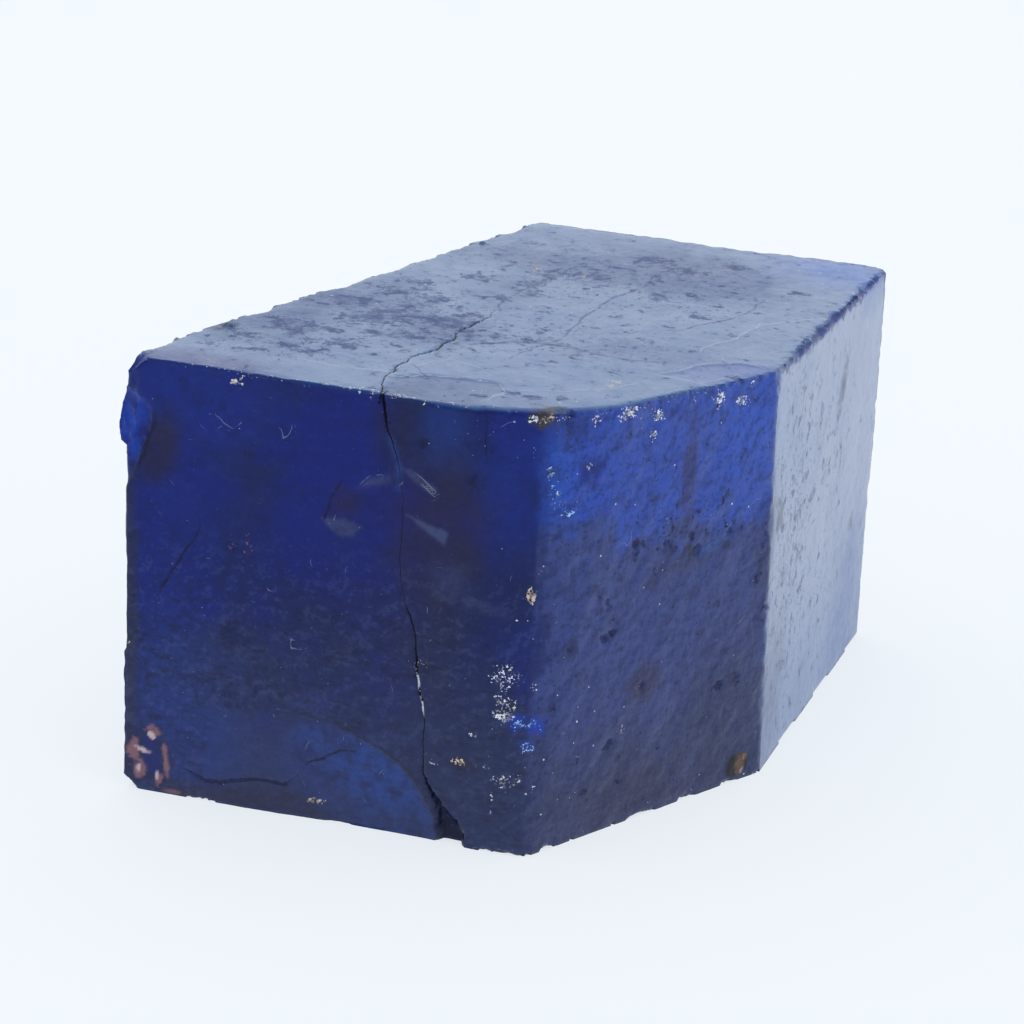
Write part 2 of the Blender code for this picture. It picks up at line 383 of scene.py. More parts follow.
@dataclass(frozen=True)
class Outline:
    """Closed outline on a face, given by the two coordinates of each corner in turn."""

    side: Side
    corners: tuple[float, ...]

    BAND = 1.2

    def reach(self, points: Array) -> Array:
        """Distance inside the outline, negative outside it and far from its face.

        Args:
            points: their coordinates.

        Returns:
            The distance.
        """
        flat = points[:, self.side.axes]
        corners = np.reshape(self.corners, (-1, 2))
        nearest = np.full(len(points), FAR)
        within = np.zeros(len(points), bool)
        for start, end in zip(corners, np.roll(corners, -1, axis=0)):
            span = end - start
            share = np.clip((flat - start) @ span / (span @ span), 0.0, 1.0)
            away = flat - (start + share[:, None] * span)
            nearest = np.minimum(nearest, np.hypot(away[:, 0], away[:, 1]))
            crosses = (start[1] > flat[:, 1]) != (end[1] > flat[:, 1])
            level = np.where(span[1] == 0.0, 1.0, span[1])
            within ^= crosses & (flat[:, 0] < span[0] * (flat[:, 1] - start[1]) / level + start[0])
        reach = np.where(within, nearest, -nearest)
        reach[np.abs(self.side.value.height_of(points)) > self.BAND] = -FAR
        return reach


@dataclass(frozen=True)
class Scar(Outline):
    """Shell-shaped fracture on a face: a step down along its rim, then a hollow floor.

    Attributes:
        name: name of the attribute that keeps the distance inside its rim.
        step: how far the floor lies below the face at the rim.
        fall: how wide the step is.
        fade: where the step starts and is whole along the first coordinate, if it fades.
    """

    name: str
    step: float
    fall: float
    fade: tuple[float, float] | None = None

    def shape(self, points: Array, reach: Array) -> None:
        """Lower the points inside the outline.

        Args:
            points: coordinates, changed in place.
            reach: distance of each point inside the outline.
        """
        share = soft_step(reach / self.fall)
        if self.fade is not None:
            start, whole = self.fade
            share *= np.clip((points[:, self.side.axes[0]] - start) / (whole - start), 0.0, 1.0)
        points -= np.array(self.side.value.normal) * (self.step * share)[:, None]


@dataclass
class StoneBlock:
    """The stone: sizes of its blank, its skin and everything carved into it.

    Attributes:
        blank_size: edge of the cube that it is sawn from.
        prow_radius_top, prow_radius_base, prow_steps: the rounding between front and corner cut.
        edge_wear: width of the wear along the edges of the blank.
        swell: how far the skin stands out of the sawn faces.
        skin: size of its faces.
        snap_out, snap_in: how far outside and inside a face a point is drawn onto it.
        edge_reach: how far from an edge a point is drawn onto it.
        merge_reach, sliver: how near points drawn to an edge merge, how short an edge goes.
        base_margin: how far from the edges the base keeps its small faces.
        fine_band: how far from the edges the skin is refined.
        edge_band, edge_bite: width and depth of the ragged wear along the edges.
        side_contrast: how sharply one side ends and the next begins in the finish.
        seed: seed of the random places.
        cracks, seams, ridges, scars: what is carved along lines and outlines.
        fine_spots: places whose marks need the finest skin, each with its radius.
    """

    blank_size: float = 60.0
    prow_radius_top: float = 8.2
    prow_radius_base: float = 1.0
    prow_steps: int = 12
    edge_wear: float = 0.05
    swell: float = 0.02
    skin: float = 0.32
    snap_out: float = 0.10
    snap_in: float = 0.30
    edge_reach: float = 0.12
    merge_reach: float = 0.09
    sliver: float = 0.004
    base_margin: float = 1.0
    fine_band: float = 0.45
    edge_band: float = 0.6
    edge_bite: float = 0.08
    side_contrast: float = 40.0
    seed: int = 7
    cracks: LineSet = LineSet("crack", (
        Line(Side.TOP, 0.16, (
            -2.0, -17.0, 0.10, -2.3, -15.6, 0.05, -2.7, -14.3, 0.055, -2.8, -12.2, 0.07,
            -2.7, -10.8, 0.05, -2.3, -9.6, 0.09, -2.1, -7.7, 0.11, -2.1, -5.9, 0.05,
            -1.9, -4.2, 0.10, -1.6, -2.7, 0.03, -1.7, -1.2, 0.02)),
        Line(Side.FRONT, 0.22, (
            -2.0, 20.8, 0.11, -2.0, 19.9, 0.11, -1.9, 19.3, 0.10, -1.7, 18.5, 0.06,
            -1.3, 17.5, 0.04, -1.1, 16.6, 0.02, -0.9, 15.6, 0.025, -0.9, 13.8, 0.03,
            -0.9, 12.2, 0.03, -0.7, 11.2, 0.02, -0.4, 10.4, 0.07, -0.1, 9.3, 0.06,
            0.0, 8.1, 0.10, 0.3, 6.6, 0.09, 0.5, 5.4, 0.04, 0.5, 4.2, 0.05,
            0.5, 3.2, 0.07, 0.9, 2.4, 0.12, 1.3, 1.9, 0.14), 0.05)))
    seams: LineSet = LineSet("seam", (
        Line(Side.TOP, 0.0, (-0.7, -7.2, 0.15, 0.8, -5.8, 0.42, 2.5, -5.4, 0.38, 4.2, -6.2, 0.20,
                             5.6, -6.4, 0.14, 6.9, -6.1, 0.10)),
        Line(Side.TOP, 0.0, (1.2, -8.6, 0.08, 2.3, -4.6, 0.12, 2.5, 1.3, 0.14, 3.3, 5.8, 0.16,
                             4.1, 10.6, 0.08)),
        Line(Side.TOP, 0.0, (-1.6, -1.2, 0.10, -1.7, 1.9, 0.16, -1.3, 5.1, 0.20, -0.6, 8.2, 0.12)),
        Line(Side.TOP, 0.0, (-2.5, -11.6, 0.06, -1.4, -13.0, 0.10, -0.4, -13.4, 0.06)),
        Line(Side.TOP, 0.0, (4.9, -2.2, 0.06, 7.0, -0.4, 0.12, 8.6, 3.4, 0.14, 9.2, 6.8, 0.08)),
        Line(Side.FRONT, 0.02, (2.5, 19.7, 0.04, 2.55, 18.9, 0.06, 2.6, 18.1, 0.08)),
        Line(Side.FRONT, 0.03, (-3.7, 16.1, 0.08, -4.0, 15.5, 0.12, -4.4, 14.3, 0.14)),
        Line(Side.FRONT, 0.02, (-10.1, 13.2, 0.05, -10.9, 11.6, 0.12, -11.5, 10.4, 0.14,
                                -12.1, 9.4, 0.05)),
        Line(Side.FRONT, 0.04, (
            -10.4, 1.3, 0.12, -9.7, 1.0, 0.20, -8.9, 1.0, 0.22, -8.0, 1.3, 0.18,
            -7.0, 1.5, 0.14, -5.9, 1.4, 0.18, -5.6, 1.7, 0.12, -5.3, 2.0, 0.08), 0.03),
        Line(Side.FRONT, 0.03, (-4.9, 2.6, 0.06, -4.2, 2.95, 0.14, -3.4, 3.55, 0.10,
                                -2.8, 3.6, 0.05))))
    ridges: LineSet = LineSet("ridge", (
        Line(Side.TOP, -0.02, (-7.4, -13.2, 0.03, -5.4, -13.5, 0.07, -4.1, -13.5, 0.07,
                               -3.0, -13.3, 0.06, -2.4, -13.9, 0.04)),
        Line(Side.TOP, -0.02, (-2.2, -13.8, 0.06, -1.1, -12.9, 0.09, 0.6, -12.6, 0.08,
                               1.9, -12.5, 0.07, 2.5, -13.7, 0.06, 2.2, -15.0, 0.04)),
        Line(Side.TOP, -0.015, (-6.2, -11.6, 0.04, -4.8, -11.9, 0.06, -3.7, -11.9, 0.04)),
        Line(Side.TOP, -0.015, (-2.1, -12.1, 0.05, -1.1, -10.1, 0.05, 1.0, -11.0, 0.04)),
        Line(Side.TOP, -0.03, (7.6, -7.9, 0.04, 8.4, -6.8, 0.09, 9.0, -5.5, 0.10,
                               10.6, -4.3, 0.09, 11.6, -4.5, 0.05)),
        Line(Side.TOP, -0.02, (8.8, -7.5, 0.05, 9.8, -7.9, 0.06, 10.8, -6.2, 0.05)),
        Line(Side.TOP, -0.03, (8.5, -3.3, 0.05, 9.5, -0.5, 0.08, 9.9, 2.6, 0.08, 12.1, 4.8, 0.05)),
        Line(Side.TOP, -0.015, (3.0, -13.3, 0.04, 4.8, -12.4, 0.06, 6.4, -10.8, 0.05,
                                7.6, -8.9, 0.03)),
        Line(Side.FRONT, 0.0, (-2.9, 15.9, 0.02, -2.6, 16.3, 0.03, -2.4, 16.5, 0.04,
                               -1.9, 16.6, 0.02)),
        Line(Side.FRONT, 0.0, (-0.3, 16.8, 0.03, 0.1, 16.5, 0.06, 0.5, 16.2, 0.04), 0.05),
        Line(Side.FRONT, 0.0, (-0.1, 16.35, 0.03, 0.15, 16.2, 0.05, 0.45, 15.95, 0.03), 0.05),
        Line(Side.FRONT, 0.0, (-9.4, 18.1, 0.03, -9.1, 17.85, 0.05, -8.8, 17.7, 0.03)),
        Line(Side.FRONT, 0.0, (-6.5, 17.9, 0.03, -6.4, 17.5, 0.05, -6.2, 17.7, 0.03,
                               -6.0, 18.1, 0.03))))
    scars: tuple[Scar, ...] = (
        Scar(Side.FRONT, (
            -9.5, 4.3, -7.0, 4.8, -5.4, 4.85, -4.7, 4.95, -3.9, 4.85, -2.9, 4.6, -1.9, 4.2,
            -0.8, 3.7, -0.1, 3.1, 0.4, 2.4, 0.9, 1.7, 1.2, 1.0, 1.3, 0.2, 1.2, -1.5,
            -10.0, -1.5), "scar", 0.12, 0.26, (-7.5, -3.5)),
        Scar(Side.FRONT, (
            0.75, 2.45, 1.0, 2.35, 1.55, 1.75, 2.1, 1.2, 2.55, 0.5, 2.6, -1.0, 1.1, -1.0,
            1.25, 0.6, 1.1, 1.5), "gap", 0.55, 0.25),
        Scar(Side.FRONT, (
            -15.5, 18.9, -13.2, 18.7, -12.3, 18.0, -12.4, 17.2, -12.8, 16.0, -13.2, 15.0,
            -13.5, 14.2, -15.5, 14.2), "facet", 0.16, 0.30),
        Scar(Side.TOP, (
            -2.4, -13.9, -1.1, -12.9, 0.6, -12.6, 1.9, -12.5, 2.5, -13.7, 2.1, -15.4,
            2.6, -17.5, -2.2, -17.5), "flake", 0.05, 0.12),
        Scar(Side.TOP, (
            7.6, -7.9, 8.4, -6.8, 9.0, -5.5, 10.6, -4.3, 11.7, -4.4, 13.5, -5.0, 11.0, -9.0,
            9.4, -8.2), "flake_right", 0.035, 0.25))
    fine_spots: tuple[tuple[Triple, float], ...] = (
        ((-12.4, -16.3, 1.7), 1.6), ((12.0, -4.3, 0.8), 1.0), ((-0.2, -16.3, 16.6), 0.9),
        ((-3.6, -16.3, 14.6), 1.2), ((0.3, -16.3, 14.5), 1.1), ((-13.0, -16.3, 16.6), 1.5))

    RING = (Side.CORNER, Side.RIGHT, Side.BACK, Side.LEFT, Side.FRONT)

    def prow_centre(self, radius: float, level: float) -> Vector:
        """Centre of the circle that touches the front and the corner cut at a height.

        Args:
            radius: radius of the prow at that height.
            level: the height.

        Returns:
            The centre, level with the base.
        """
        front, corner = Side.FRONT.value, Side.CORNER.value
        first, second = front.normal, corner.normal
        near = front.distance - first.z * level - radius
        far = corner.distance - second.z * level - radius
        spread = first.x * second.y - first.y * second.x
        return Vector(((near * second.y - far * first.y) / spread,
                       (far * first.x - near * second.x) / spread, 0.0))

    def prow_faces(self) -> list[SawnFace]:
        """Round the corner between the front and the cut.

        Returns:
            The narrow tangent faces there.
        """
        height = Side.TOP.value.distance
        low = self.prow_centre(self.prow_radius_base, 0.0)
        high = self.prow_centre(self.prow_radius_top, height)
        start, end = Side.FRONT.value.azimuth, Side.CORNER.value.azimuth
        faces = []
        for step in range(1, self.prow_steps):
            azimuth = start + (end - start) * step / self.prow_steps
            turn = math.radians(azimuth)
            flat = Vector((math.cos(turn), math.sin(turn), 0.0))
            reach_low = flat.dot(low) + self.prow_radius_base
            rise = math.atan2(reach_low - flat.dot(high) - self.prow_radius_top, height)
            faces.append(SawnFace(azimuth, math.degrees(rise), reach_low * math.cos(rise)))
        return faces

    def walls(self) -> list[SawnFace]:
        """The upright faces, those that round the prow among them."""
        return [side.value for side in Side if side not in (Side.TOP, Side.BASE)] + self.prow_faces()

    def blank(self) -> bmesh.types.BMesh:
        """Saw a cube along every face and wear its edges.

        Returns:
            The bare block.
        """
        bm = bmesh.new()
        bmesh.ops.create_cube(bm, size=self.blank_size)
        for face in [side.value for side in Side] + self.prow_faces():
            parts = bm.verts[:] + bm.edges[:] + bm.faces[:]
            fill_cut(bm, saw(bm, face.normal * (face.distance + self.swell), face.normal, parts))
        bmesh.ops.dissolve_limit(bm, angle_limit=math.radians(0.1), verts=bm.verts, edges=bm.edges)
        worn = [edge for edge in bm.edges if edge.calc_face_angle(0.0) > math.radians(20.0)]
        bmesh.ops.bevel(bm, geom=worn, offset=self.edge_wear, segments=2, profile=0.5,
                        affect='EDGES', material=-1)
        bmesh.ops.recalc_face_normals(bm, faces=bm.faces)
        return bm

    def skinned(self) -> bpy.types.Mesh:
        """Give the blank and its lumps one even skin of small faces.

        Returns:
            The skin, in millimetres.
        """
        bm = self.blank()
        for lump in self.lumps():
            lump.join(bm)
        mesh = bpy.data.meshes.new("blank")
        bm.to_mesh(mesh)
        bm.free()
        holder = bpy.data.objects.new("blank", mesh)
        bpy.context.scene.collection.objects.link(holder)
        remesh = holder.modifiers.new("skin", 'REMESH')
        remesh.mode = 'VOXEL'
        remesh.voxel_size = self.skin
        graph = bpy.context.evaluated_depsgraph_get()
        made = bpy.data.meshes.new_from_object(holder.evaluated_get(graph))
        bpy.data.objects.remove(holder, do_unlink=True)
        bpy.data.meshes.remove(mesh)
        return made

    def square_up(self, mesh: bpy.types.Mesh) -> None:
        """Bring the skin back onto the sawn faces and out to their edges.

        Args:
            mesh: the skin, in millimetres.
        """
        points = np.empty(len(mesh.vertices) * 3)
        mesh.vertices.foreach_get("co", points)
        points = points.reshape(-1, 3)
        walls, caps = self.walls(), [Side.TOP.value, Side.BASE.value]
        heights = np.array([face.height_of(points) for face in walls + caps])
        high = heights.max(axis=0)
        near = (high < self.snap_out) & (high > -self.snap_in)
        away = np.array([face.normal for face in walls + caps])[heights.argmax(axis=0)]
        points[near] += (away * (self.swell - high)[:, None])[near]
        drawn = np.zeros(len(points), bool)
        across = np.array([face.normal for face in walls])
        for cap in caps:
            heights = np.array([face.height_of(points) for face in walls])
            drawn |= self.draw_out(points, across[heights.argmax(axis=0)], heights.max(axis=0),
                                   np.array(cap.normal), cap.height_of(points))
        for first, second in zip(self.RING, self.RING[1:]):
            drawn |= self.draw_out(
                points, np.array(first.value.normal), first.value.height_of(points),
                np.array(second.value.normal), second.value.height_of(points))
        mesh.vertices.foreach_set("co", points.ravel())
        bm = bmesh.new()
        bm.from_mesh(mesh)
        bm.verts.ensure_lookup_table()
        rim = [bm.verts[index] for index in np.flatnonzero(drawn)]
        bmesh.ops.remove_doubles(bm, verts=rim, dist=self.merge_reach)
        bmesh.ops.dissolve_degenerate(bm, edges=bm.edges, dist=self.sliver)
        bmesh.ops.recalc_face_normals(bm, faces=bm.faces)
        bm.to_mesh(mesh)
        bm.free()

    def draw_out(self, points: Array, first: Array, first_height: Array, second: Array,
                 second_height: Array) -> Array:
        """Move the points close to an edge onto the edge itself.

        Args:
            points: coordinates, changed in place.
            first, second: normals of the two faces that meet there.
            first_height, second_height: how far the points stand above those faces.

        Returns:
            True for each point that was moved.
        """
        lean = np.sum(first * second, axis=-1)
        rise, climb = self.swell - first_height, self.swell - second_height
        room = 1.0 - lean * lean
        near = np.maximum(np.abs(rise), np.abs(climb)) < self.edge_reach * np.sqrt(room)
        step = ((rise - lean * climb) / room)[:, None] * first
        step = step + ((climb - lean * rise) / room)[:, None] * second
        points[near] += step[near]
        return near

    def lumps(self) -> list[Lump]:
        """Shape the shoulder and the low lumps that stand proud of the left edge.

        Returns:
            The lumps.
        """
        front, left, top = Side.FRONT.value, Side.LEFT.value, Side.TOP.value
        flush = SawnFace(front.azimuth, front.elevation, front.distance - self.swell)
        ledge = SawnFace(165.0, -62.0, -9.98)
        outward = (left.normal + top.normal).normalized()
        along = left.normal.cross(top.normal)
        return [
            Lump(left.point(y=-16.0, z=16.9) - left.normal, left.normal, UP, (2.8, 2.4, 1.56),
                 (flush, ledge)),
            Lump(left.point(y=-9.8, z=20.0) - outward * 0.42, outward, along, (1.0, 0.75, 0.64)),
            Lump(left.point(y=10.4, z=19.95) - outward * 0.5, outward, along, (0.9, 0.6, 0.58))]

    def carve_list(self) -> list[Bowl]:
        """List every bowl, from the broad ones to the small ones.

        Returns:
            The flutes, hollows, broken corners, chips and pits.
        """
        front, corner, right, back, left, top, base = (side.value for side in Side)
        made = []
        for index, (y, width, depth) in enumerate((
                (-10.6, 4.4, 0.22), (-5.2, 3.8, 0.30), (-0.9, 3.2, 0.22), (3.6, 4.2, 0.32),
                (8.2, 3.4, 0.22), (12.6, 3.8, 0.28))):
            spot = left.point(y=y, z=9.0 + 2.0 * math.sin(index * 2.1))
            made.append(Bowl(spot, left.normal, UP, 21.0, width, depth))
        for spot, outward, along, length, width, depth in (
                (back.point(x=6.4, z=13.0), back.normal, (1.0, 0.0, 0.4), 11.0, 8.0, 0.20),
                (back.point(x=1.2, z=8.4), back.normal, (1.0, 0.0, -0.7), 9.0, 6.0, 0.18),
                (front.point(x=-1.6, z=0.2), front.normal, (1.0, 0.0, -0.25), 8.4, 7.0, 0.10),
                ((-14.1, -16.34, 17.3), (-0.36, -0.93, 0.08), UP, 5.6, 4.2, 0.30),
                ((-13.6, -16.3, 20.2), (-0.55, -0.55, 0.62), (1.0, -1.0, 0.0), 2.8, 2.8, 0.55),
                ((-13.45, -16.3, 0.0), (-0.6, -0.6, -0.5), (1.0, -1.0, 0.0), 1.6, 1.6, 0.34),
                (top.point(x=5.2, y=-15.3), top.normal + corner.normal, (1.0, 0.5, 0.0),
                 1.3, 0.9, 0.30)):
            made.append(Bowl(Vector(spot), Vector(outward), Vector(along), length, width, depth))
        for y, size in ((13.6, 1.5), (6.1, 1.3), (3.0, 1.5), (-0.9, 1.9), (-7.0, 1.2), (-14.4, 1.8)):
            spot = left.point(y=y, z=top.point(x=-8.0, y=y).z)
            made.append(self.edge_bowl(spot, left, top, (size * 1.5, size * 0.8, 0.24)))
        picker = random.Random(self.seed)
        for index in range(17):
            y = -4.4 + 20.4 * (index + 0.8 * picker.random()) / 17
            size = picker.uniform(0.5, 1.5)
            spot = right.point(y=y, z=top.point(x=13.0, y=y).z)
            made.append(self.edge_bowl(spot, right, top, (size * 1.5, size * 0.8, 0.22 * size)))
        for x, size in ((-9.6, 1.2), (-3.3, 1.6), (3.4, 0.9), (4.6, 1.3)):
            spot = front.point(x=x, z=0.0)
            made.append(self.edge_bowl(spot, front, base, (size, size * 0.4, 0.16)))
        for y, size in ((-15.0, 1.1), (-10.0, 1.7), (-7.3, 1.0), (-4.9, 1.3)):
            spot = corner.point(y=y, z=0.0)
            made.append(self.edge_bowl(spot, corner, base, (size, size * 0.4, 0.16)))
        for z, size in ((19.6, 1.5), (18.2, 0.9), (12.6, 2.1), (8.7, 0.7), (3.7, 1.1)):
            spot = corner.point(y=-3.05 - 0.073 * z, z=z)
            made.append(self.edge_bowl(spot, corner, right, (size, size * 0.22, 0.10)))
        return made + self.pits()

    @staticmethod
    def edge_bowl(spot: Vector, first: SawnFace, second: SawnFace, sizes: Triple) -> Bowl:
        """Chip on the edge between two faces, with its length, width and depth."""
        along = first.normal.cross(second.normal)
        return Bowl(spot, first.normal + second.normal, along, *sizes)

    def pits(self) -> list[Bowl]:
        """List the small natural pits, most of them where the saw crossed old inclusions.

        Returns:
            The bowls of the pits.
        """
        picker = random.Random(self.seed + 1)
        made = []
        rows = (
            (Side.CORNER, Vector((0.5, 0.85, 0.5)), (
                (-12.8, 9.5), (-14.6, 9.4), (-10.6, 6.6), (-11.6, 13.4), (-10.1, 13.1),
                (-8.2, 12.4), (-12.9, 11.0), (-6.4, 12.9), (-12.2, 4.2), (-6.0, 5.4))),
            (Side.FRONT, Vector((1.0, 0.0, 0.2)), ((-0.1, 18.3), (2.1, 16.8))))
        for side, along, places in rows:
            for place in places:
                known = {"xyz"[axis]: value for axis, value in zip(side.axes, place)}
                length = picker.uniform(0.6, 1.05)
                made.append(Bowl(side.value.point(**known), side.value.normal, along, length,
                                 length * picker.uniform(0.5, 0.8), 0.10))
        return made

    def edge_distance(self, points: Array) -> Array:
        """How far each point is from the nearest worn edge.

        Args:
            points: their coordinates.

        Returns:
            The distance, measured across the face.
        """
        reach = {side: -side.value.height_of(points) for side in Side}
        wall = np.min([-face.height_of(points) for face in self.walls()], axis=0)
        nearest = np.minimum(np.maximum(wall, reach[Side.TOP]), np.maximum(wall, reach[Side.BASE]))
        for first, second in zip(self.RING, self.RING[1:]):
            lean = first.value.normal.angle(second.value.normal)
            both = np.maximum(reach[first], reach[second]) / math.sin(lean)
            nearest = np.minimum(nearest, both)
        return np.clip(nearest, 0.0, None)

    def side_shares(self, normals: Array) -> dict[str, Array]:
        """How much each point belongs to each side, from the way it looks.

        Args:
            normals: unit normals at the points.

        Returns:
            A share from 0 to 1 by the side's name in small letters; a point's add up to 1.
        """
        weights = {side.name.lower(): np.exp(self.side_contrast * (
            normals @ np.array(side.value.normal) - 1.0)) for side in Side}
        total = np.sum(list(weights.values()), axis=0)
        return {name: weight / total for name, weight in weights.items()}

    def weather(self, points: Array, shares: dict[str, Array], edge: Array) -> Array:
        """Uneven skin: saw waves, striations, small ridges and ragged edges.

        Args:
            points: coordinates.
            shares: share of each side at each point.
            edge: distance from the nearest edge.

        Returns:
            How far each point moves along its normal.
        """
        move = np.zeros(len(points))
        stretch = Matrix.Rotation(math.radians(35.0), 3, Side.CORNER.value.normal)
        for index, spot in enumerate(points):
            here = Vector(spot)
            slow = noise.noise(here * 0.22)
            fine = noise.fractal(here * 1.1, 0.9, 2.1, 3)
            grit = noise.noise(here * 3.3)
            turned = stretch @ here
            scratch = noise.noise(Vector((turned.x * 1.5, turned.y * 1.5, turned.z * 0.28)))
            level = shares["top"][index] + shares["right"][index]
            amount = 0.045 * slow + (0.012 * fine + 0.010 * grit) * (1.0 - 0.7 * level)
            amount += shares["corner"][index] * (0.030 * scratch + 0.022 * fine)
            amount += shares["left"][index] * (0.03 * fine + 0.03 * scratch)
            if edge[index] < self.edge_band:
                bite = max(noise.noise(here * 1.7) + 0.12, 0.0) + 0.5 * max(grit, 0.0)
                bite *= min(0.12 + 0.4 * here.z, 1.0)
                amount -= self.edge_bite * bite * (1.0 - edge[index] / self.edge_band) ** 2
            move[index] = amount
        ground = (shares["base"] > 0.5) & (points[:, 2] < 0.05)
        move[ground] = np.minimum(move[ground], 0.0)
        return move

    def thin_base(self, bm: bmesh.types.BMesh) -> None:
        """Give the flat middle of the base larger faces.

        Args:
            bm: the skin.
        """
        flat = [vert for vert in bm.verts if vert.normal.dot(Side.BASE.value.normal) > 0.999]
        away = self.edge_distance(np.array([vert.co for vert in flat]))
        inner = [vert for vert, reach in zip(flat, away) if reach > self.base_margin]
        bmesh.ops.unsubdivide(bm, verts=inner, iterations=4)
        bm.normal_update()

    def refine(self, mesh: bpy.types.Mesh) -> None:
        """Give the sawn faces a finer skin, and cracks and small marks a finer one still.

        Args:
            mesh: the skin, in millimetres.
        """
        bm = bmesh.new()
        bm.from_mesh(mesh)
        bm.normal_update()
        self.thin_base(bm)
        sawn = [side.value.normal for side in (Side.FRONT, Side.CORNER, Side.RIGHT, Side.TOP)]
        middles = np.array([face.calc_center_median() for face in bm.faces])
        reach = self.edge_distance(middles)
        chosen = {face for face, away in zip(bm.faces, reach)
                  if away < self.fine_band or any(face.normal.dot(way) > 0.80 for way in sawn)}
        edges = [edge for edge in bm.edges if not chosen.isdisjoint(edge.link_faces)]
        bmesh.ops.subdivide_edges(bm, edges=edges, cuts=1, use_grid_fill=True)
        for margin, spots in ((0.16, self.fine_spots), (0.05, ())):
            points = np.array([vert.co for vert in bm.verts])
            near = np.zeros(len(points), bool)
            for line in self.cracks.lines:
                away, width = line.measure(points)
                near |= np.abs(away) < margin + width / 2
            for spot, reach in spots:
                near |= np.linalg.norm(points - np.array(spot), axis=1) < reach
            bm.verts.index_update()
            edges = [edge for edge in bm.edges if all(near[vert.index] for vert in edge.verts)]
            bmesh.ops.subdivide_edges(bm, edges=edges, cuts=1, use_grid_fill=True)
        bmesh.ops.triangulate(bm, faces=[face for face in bm.faces if len(face.verts) > 4])
        bm.to_mesh(mesh)
        bm.free()

    def build(self) -> bpy.types.Object:
        """Make the stone's mesh, carve it and mark it for its finish.

        Returns:
            The stone's object, at the origin, in metres.
        """
        mesh = self.skinned()
        self.refine(mesh)
        self.square_up(mesh)
        skin = Skin.of(mesh, 1.0)
        points, normals = skin.points, skin.normals
        shares = self.side_shares(normals)
        edge = self.edge_distance(points)
        marks = dict(shares, edge=edge)
        marks.update({scar.name: scar.reach(points) + 0.25 * skin.fine for scar in self.scars})
        depth = np.zeros(len(points))
        for bowl in self.carve_list():
            depth += bowl.shape(points, skin.fine * (2.4 if bowl.length < 1.6 else 0.3))
        for scar in self.scars:
            scar.shape(points, marks[scar.name])
        for lines in (self.cracks, self.seams, self.ridges):
            marks.update(lines.carve(points))
        points += normals * self.weather(points, shares, edge)[:, None]
        points[:, 2] = np.maximum(points[:, 2], 0.0)
        mesh.vertices.foreach_set("co", (points * MM).ravel())
        mesh.update()
        for name, values in dict(marks, carved=depth).items():
            write_mark(mesh, name, values)
        mesh.shade_smooth()
        stone = bpy.data.objects.new("tanzanite_stone", mesh)
        bpy.context.scene.collection.objects.link(stone)
        log.info("stone: %d faces", len(mesh.polygons))
        return stone


# ---------------------------------------------------------------- finishes


class Value:
    """An output of a node, with the sums and products that can be made of it."""

    def __init__(self, graph: "Graph", socket: bpy.types.NodeSocket) -> None:
        """Keep the output and the graph that its sums are added to."""
        self.graph = graph
        self.socket = socket

    def fellow(self, name: str) -> "Value":
        """Another output of the same node."""
        return Value(self.graph, self.socket.node.outputs[name])

    def __add__(self, other: "Value | float") -> "Value":
        """The sum of both."""
        return self.graph.math('ADD', self, other)

    def __radd__(self, other: float) -> "Value":
        """The sum of a number and this value."""
        return self.graph.math('ADD', other, self)

    def __sub__(self, other: "Value | float") -> "Value":
        """This value less another."""
        return self.graph.math('SUBTRACT', self, other)

    def __rsub__(self, other: float) -> "Value":
        """A number less this value."""
        return self.graph.math('SUBTRACT', other, self)

    def __mul__(self, other: "Value | float") -> "Value":
        """The product of both."""
        return self.graph.math('MULTIPLY', self, other)

    def __abs__(self) -> "Value":
        """This value without its sign."""
        return self.graph.math('ABSOLUTE', self)


Input = Value | float | tuple[float, ...]


